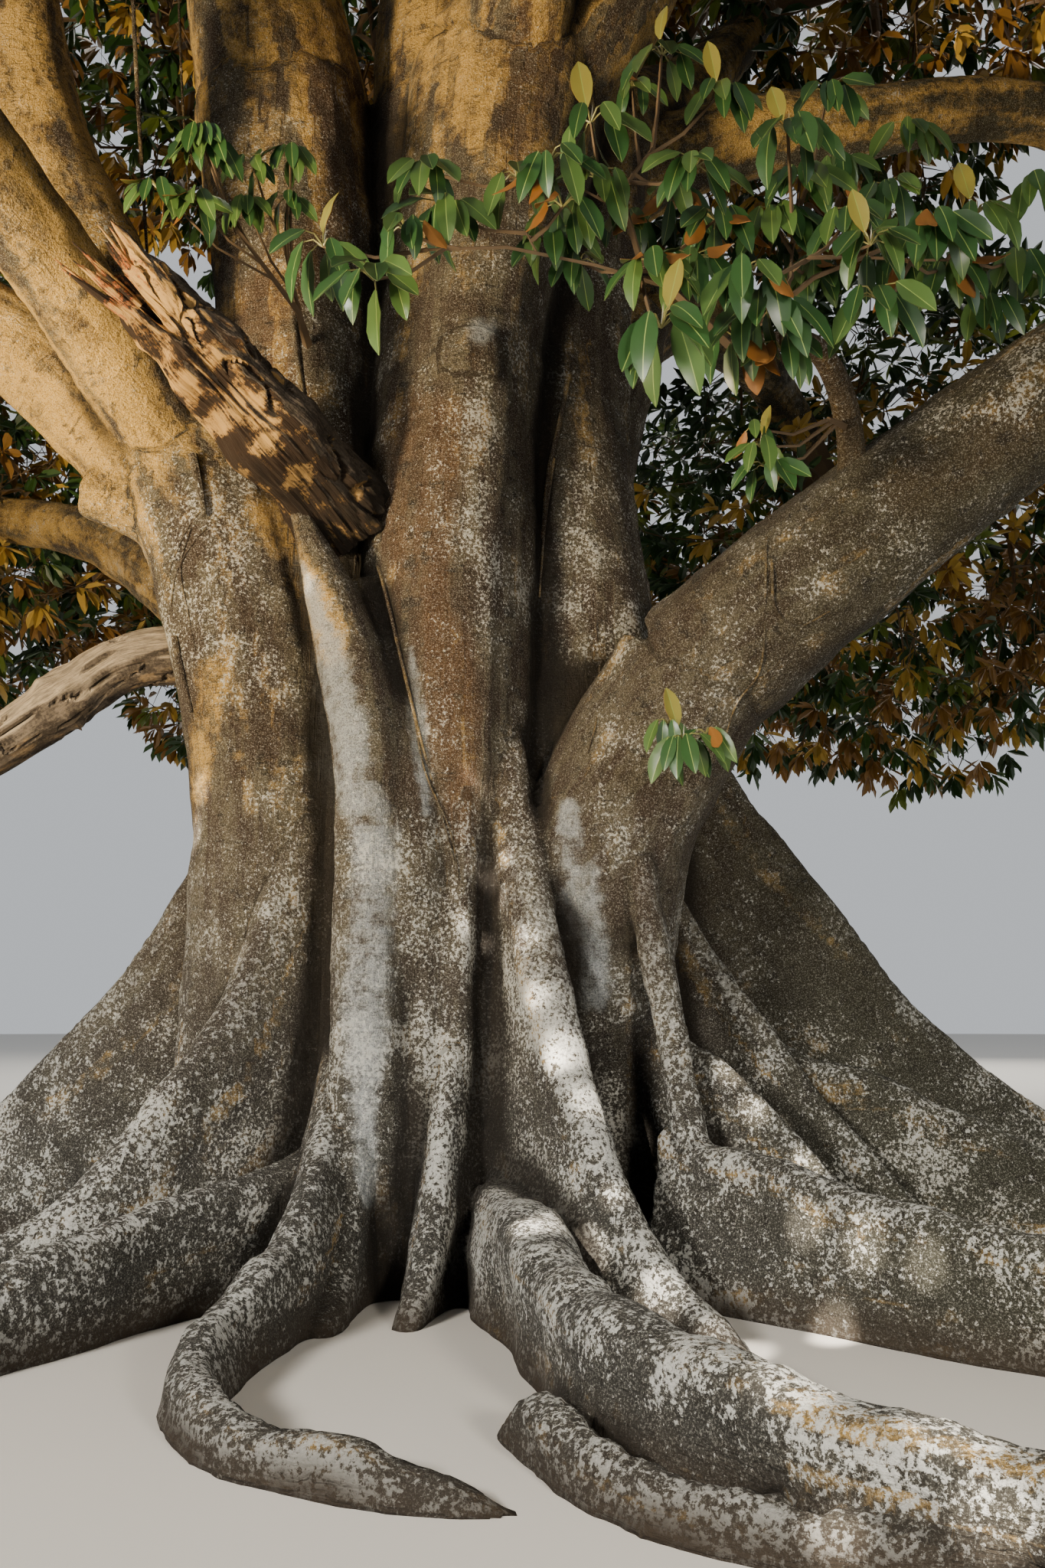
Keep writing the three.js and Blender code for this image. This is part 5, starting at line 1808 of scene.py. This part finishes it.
area_light("key_left", (-7.5, -13, 6.5), (-0.5, -1, 4), 2.6, 1500, (1, 0.94, 0.84), spread=80)
area_light("fill_right", (9, -13, 4.4), (0.5, 0, 2.5), 6, 220, (0.92, 0.96, 1))
area_light("low_sun", (4, -11, 3), (2.2, -4.2, 0.4), 1.2, 190, (1, 0.92, 0.78), spread=90)
area_light("golden_left", (-7, -8, 1.2), (-0.9, -0.5, 8.3), 1.6, 720, (1, 0.8, 0.5), spread=80)

# %% Patches of sun
# Each is (u, v, half width in metres): where sun falls through the crown in the picture.
SUN_PATCHES = [
    (262, 1030, 0.1), (256, 1085, 0.12), (222, 1160, 0.1), (400, 765, 0.07), (428, 830, 0.06),
    (660, 1120, 0.07), (655, 1175, 0.06), (684, 1225, 0.1), (700, 1300, 0.09), (735, 1370, 0.13),
    (775, 1440, 0.12), (812, 1500, 0.1), (800, 1560, 0.08), (960, 1400, 0.12), (985, 1450, 0.1),
    (1055, 1520, 0.1), (1050, 1600, 0.12), (1130, 1625, 0.14), (1210, 1650, 0.12), (690, 1600, 0.12),
    (765, 1640, 0.16), (860, 1695, 0.17), (950, 1750, 0.16), (1045, 1795, 0.18), (1150, 1830, 0.17),
    (1250, 1860, 0.17), (640, 1150, 0.08), (630, 1230, 0.07), (1090, 2000, 0.1), (1300, 1990, 0.14),
    (620, 1020, 0.06),
]
SUN_POWER = 10500
SUN_COLOUR = (1, 0.9, 0.76)
SUN_SOFTNESS = 0.75
SUN_WIDTH = 0.04
SUN_SIDE = Vector((-2.6, -4.6, 3.4))
for i, (u, v, half_width) in enumerate(SUN_PATCHES):
    spot, _ = on_bark(u, v, 0, 7.5)
    data = bpy.data.lights.new(f"sun_patch_{i + 1}", "SPOT")
    data.energy = SUN_POWER
    data.color = SUN_COLOUR
    data.spot_size = 2 * math.atan(half_width / SUN_SIDE.length)
    data.spot_blend = SUN_SOFTNESS
    data.shadow_soft_size = SUN_WIDTH
    light = bpy.data.objects.new(data.name, data)
    light.location = spot + SUN_SIDE
    light.rotation_euler = (-SUN_SIDE).to_track_quat("-Z", "Y").to_euler()
    bpy.context.collection.objects.link(light)

area_light("back_soft", (10, 36, 24), (0, 0, 7), 26, 16000, (1, 0.95, 0.85))
area_light("top_soft", (-8, -4, 48), (0, 0, 8), 30, 16000, (1, 0.97, 0.9))

# %% Sizes, and the end
[[list(corner) for corner in box] for box in (cad_box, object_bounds())]
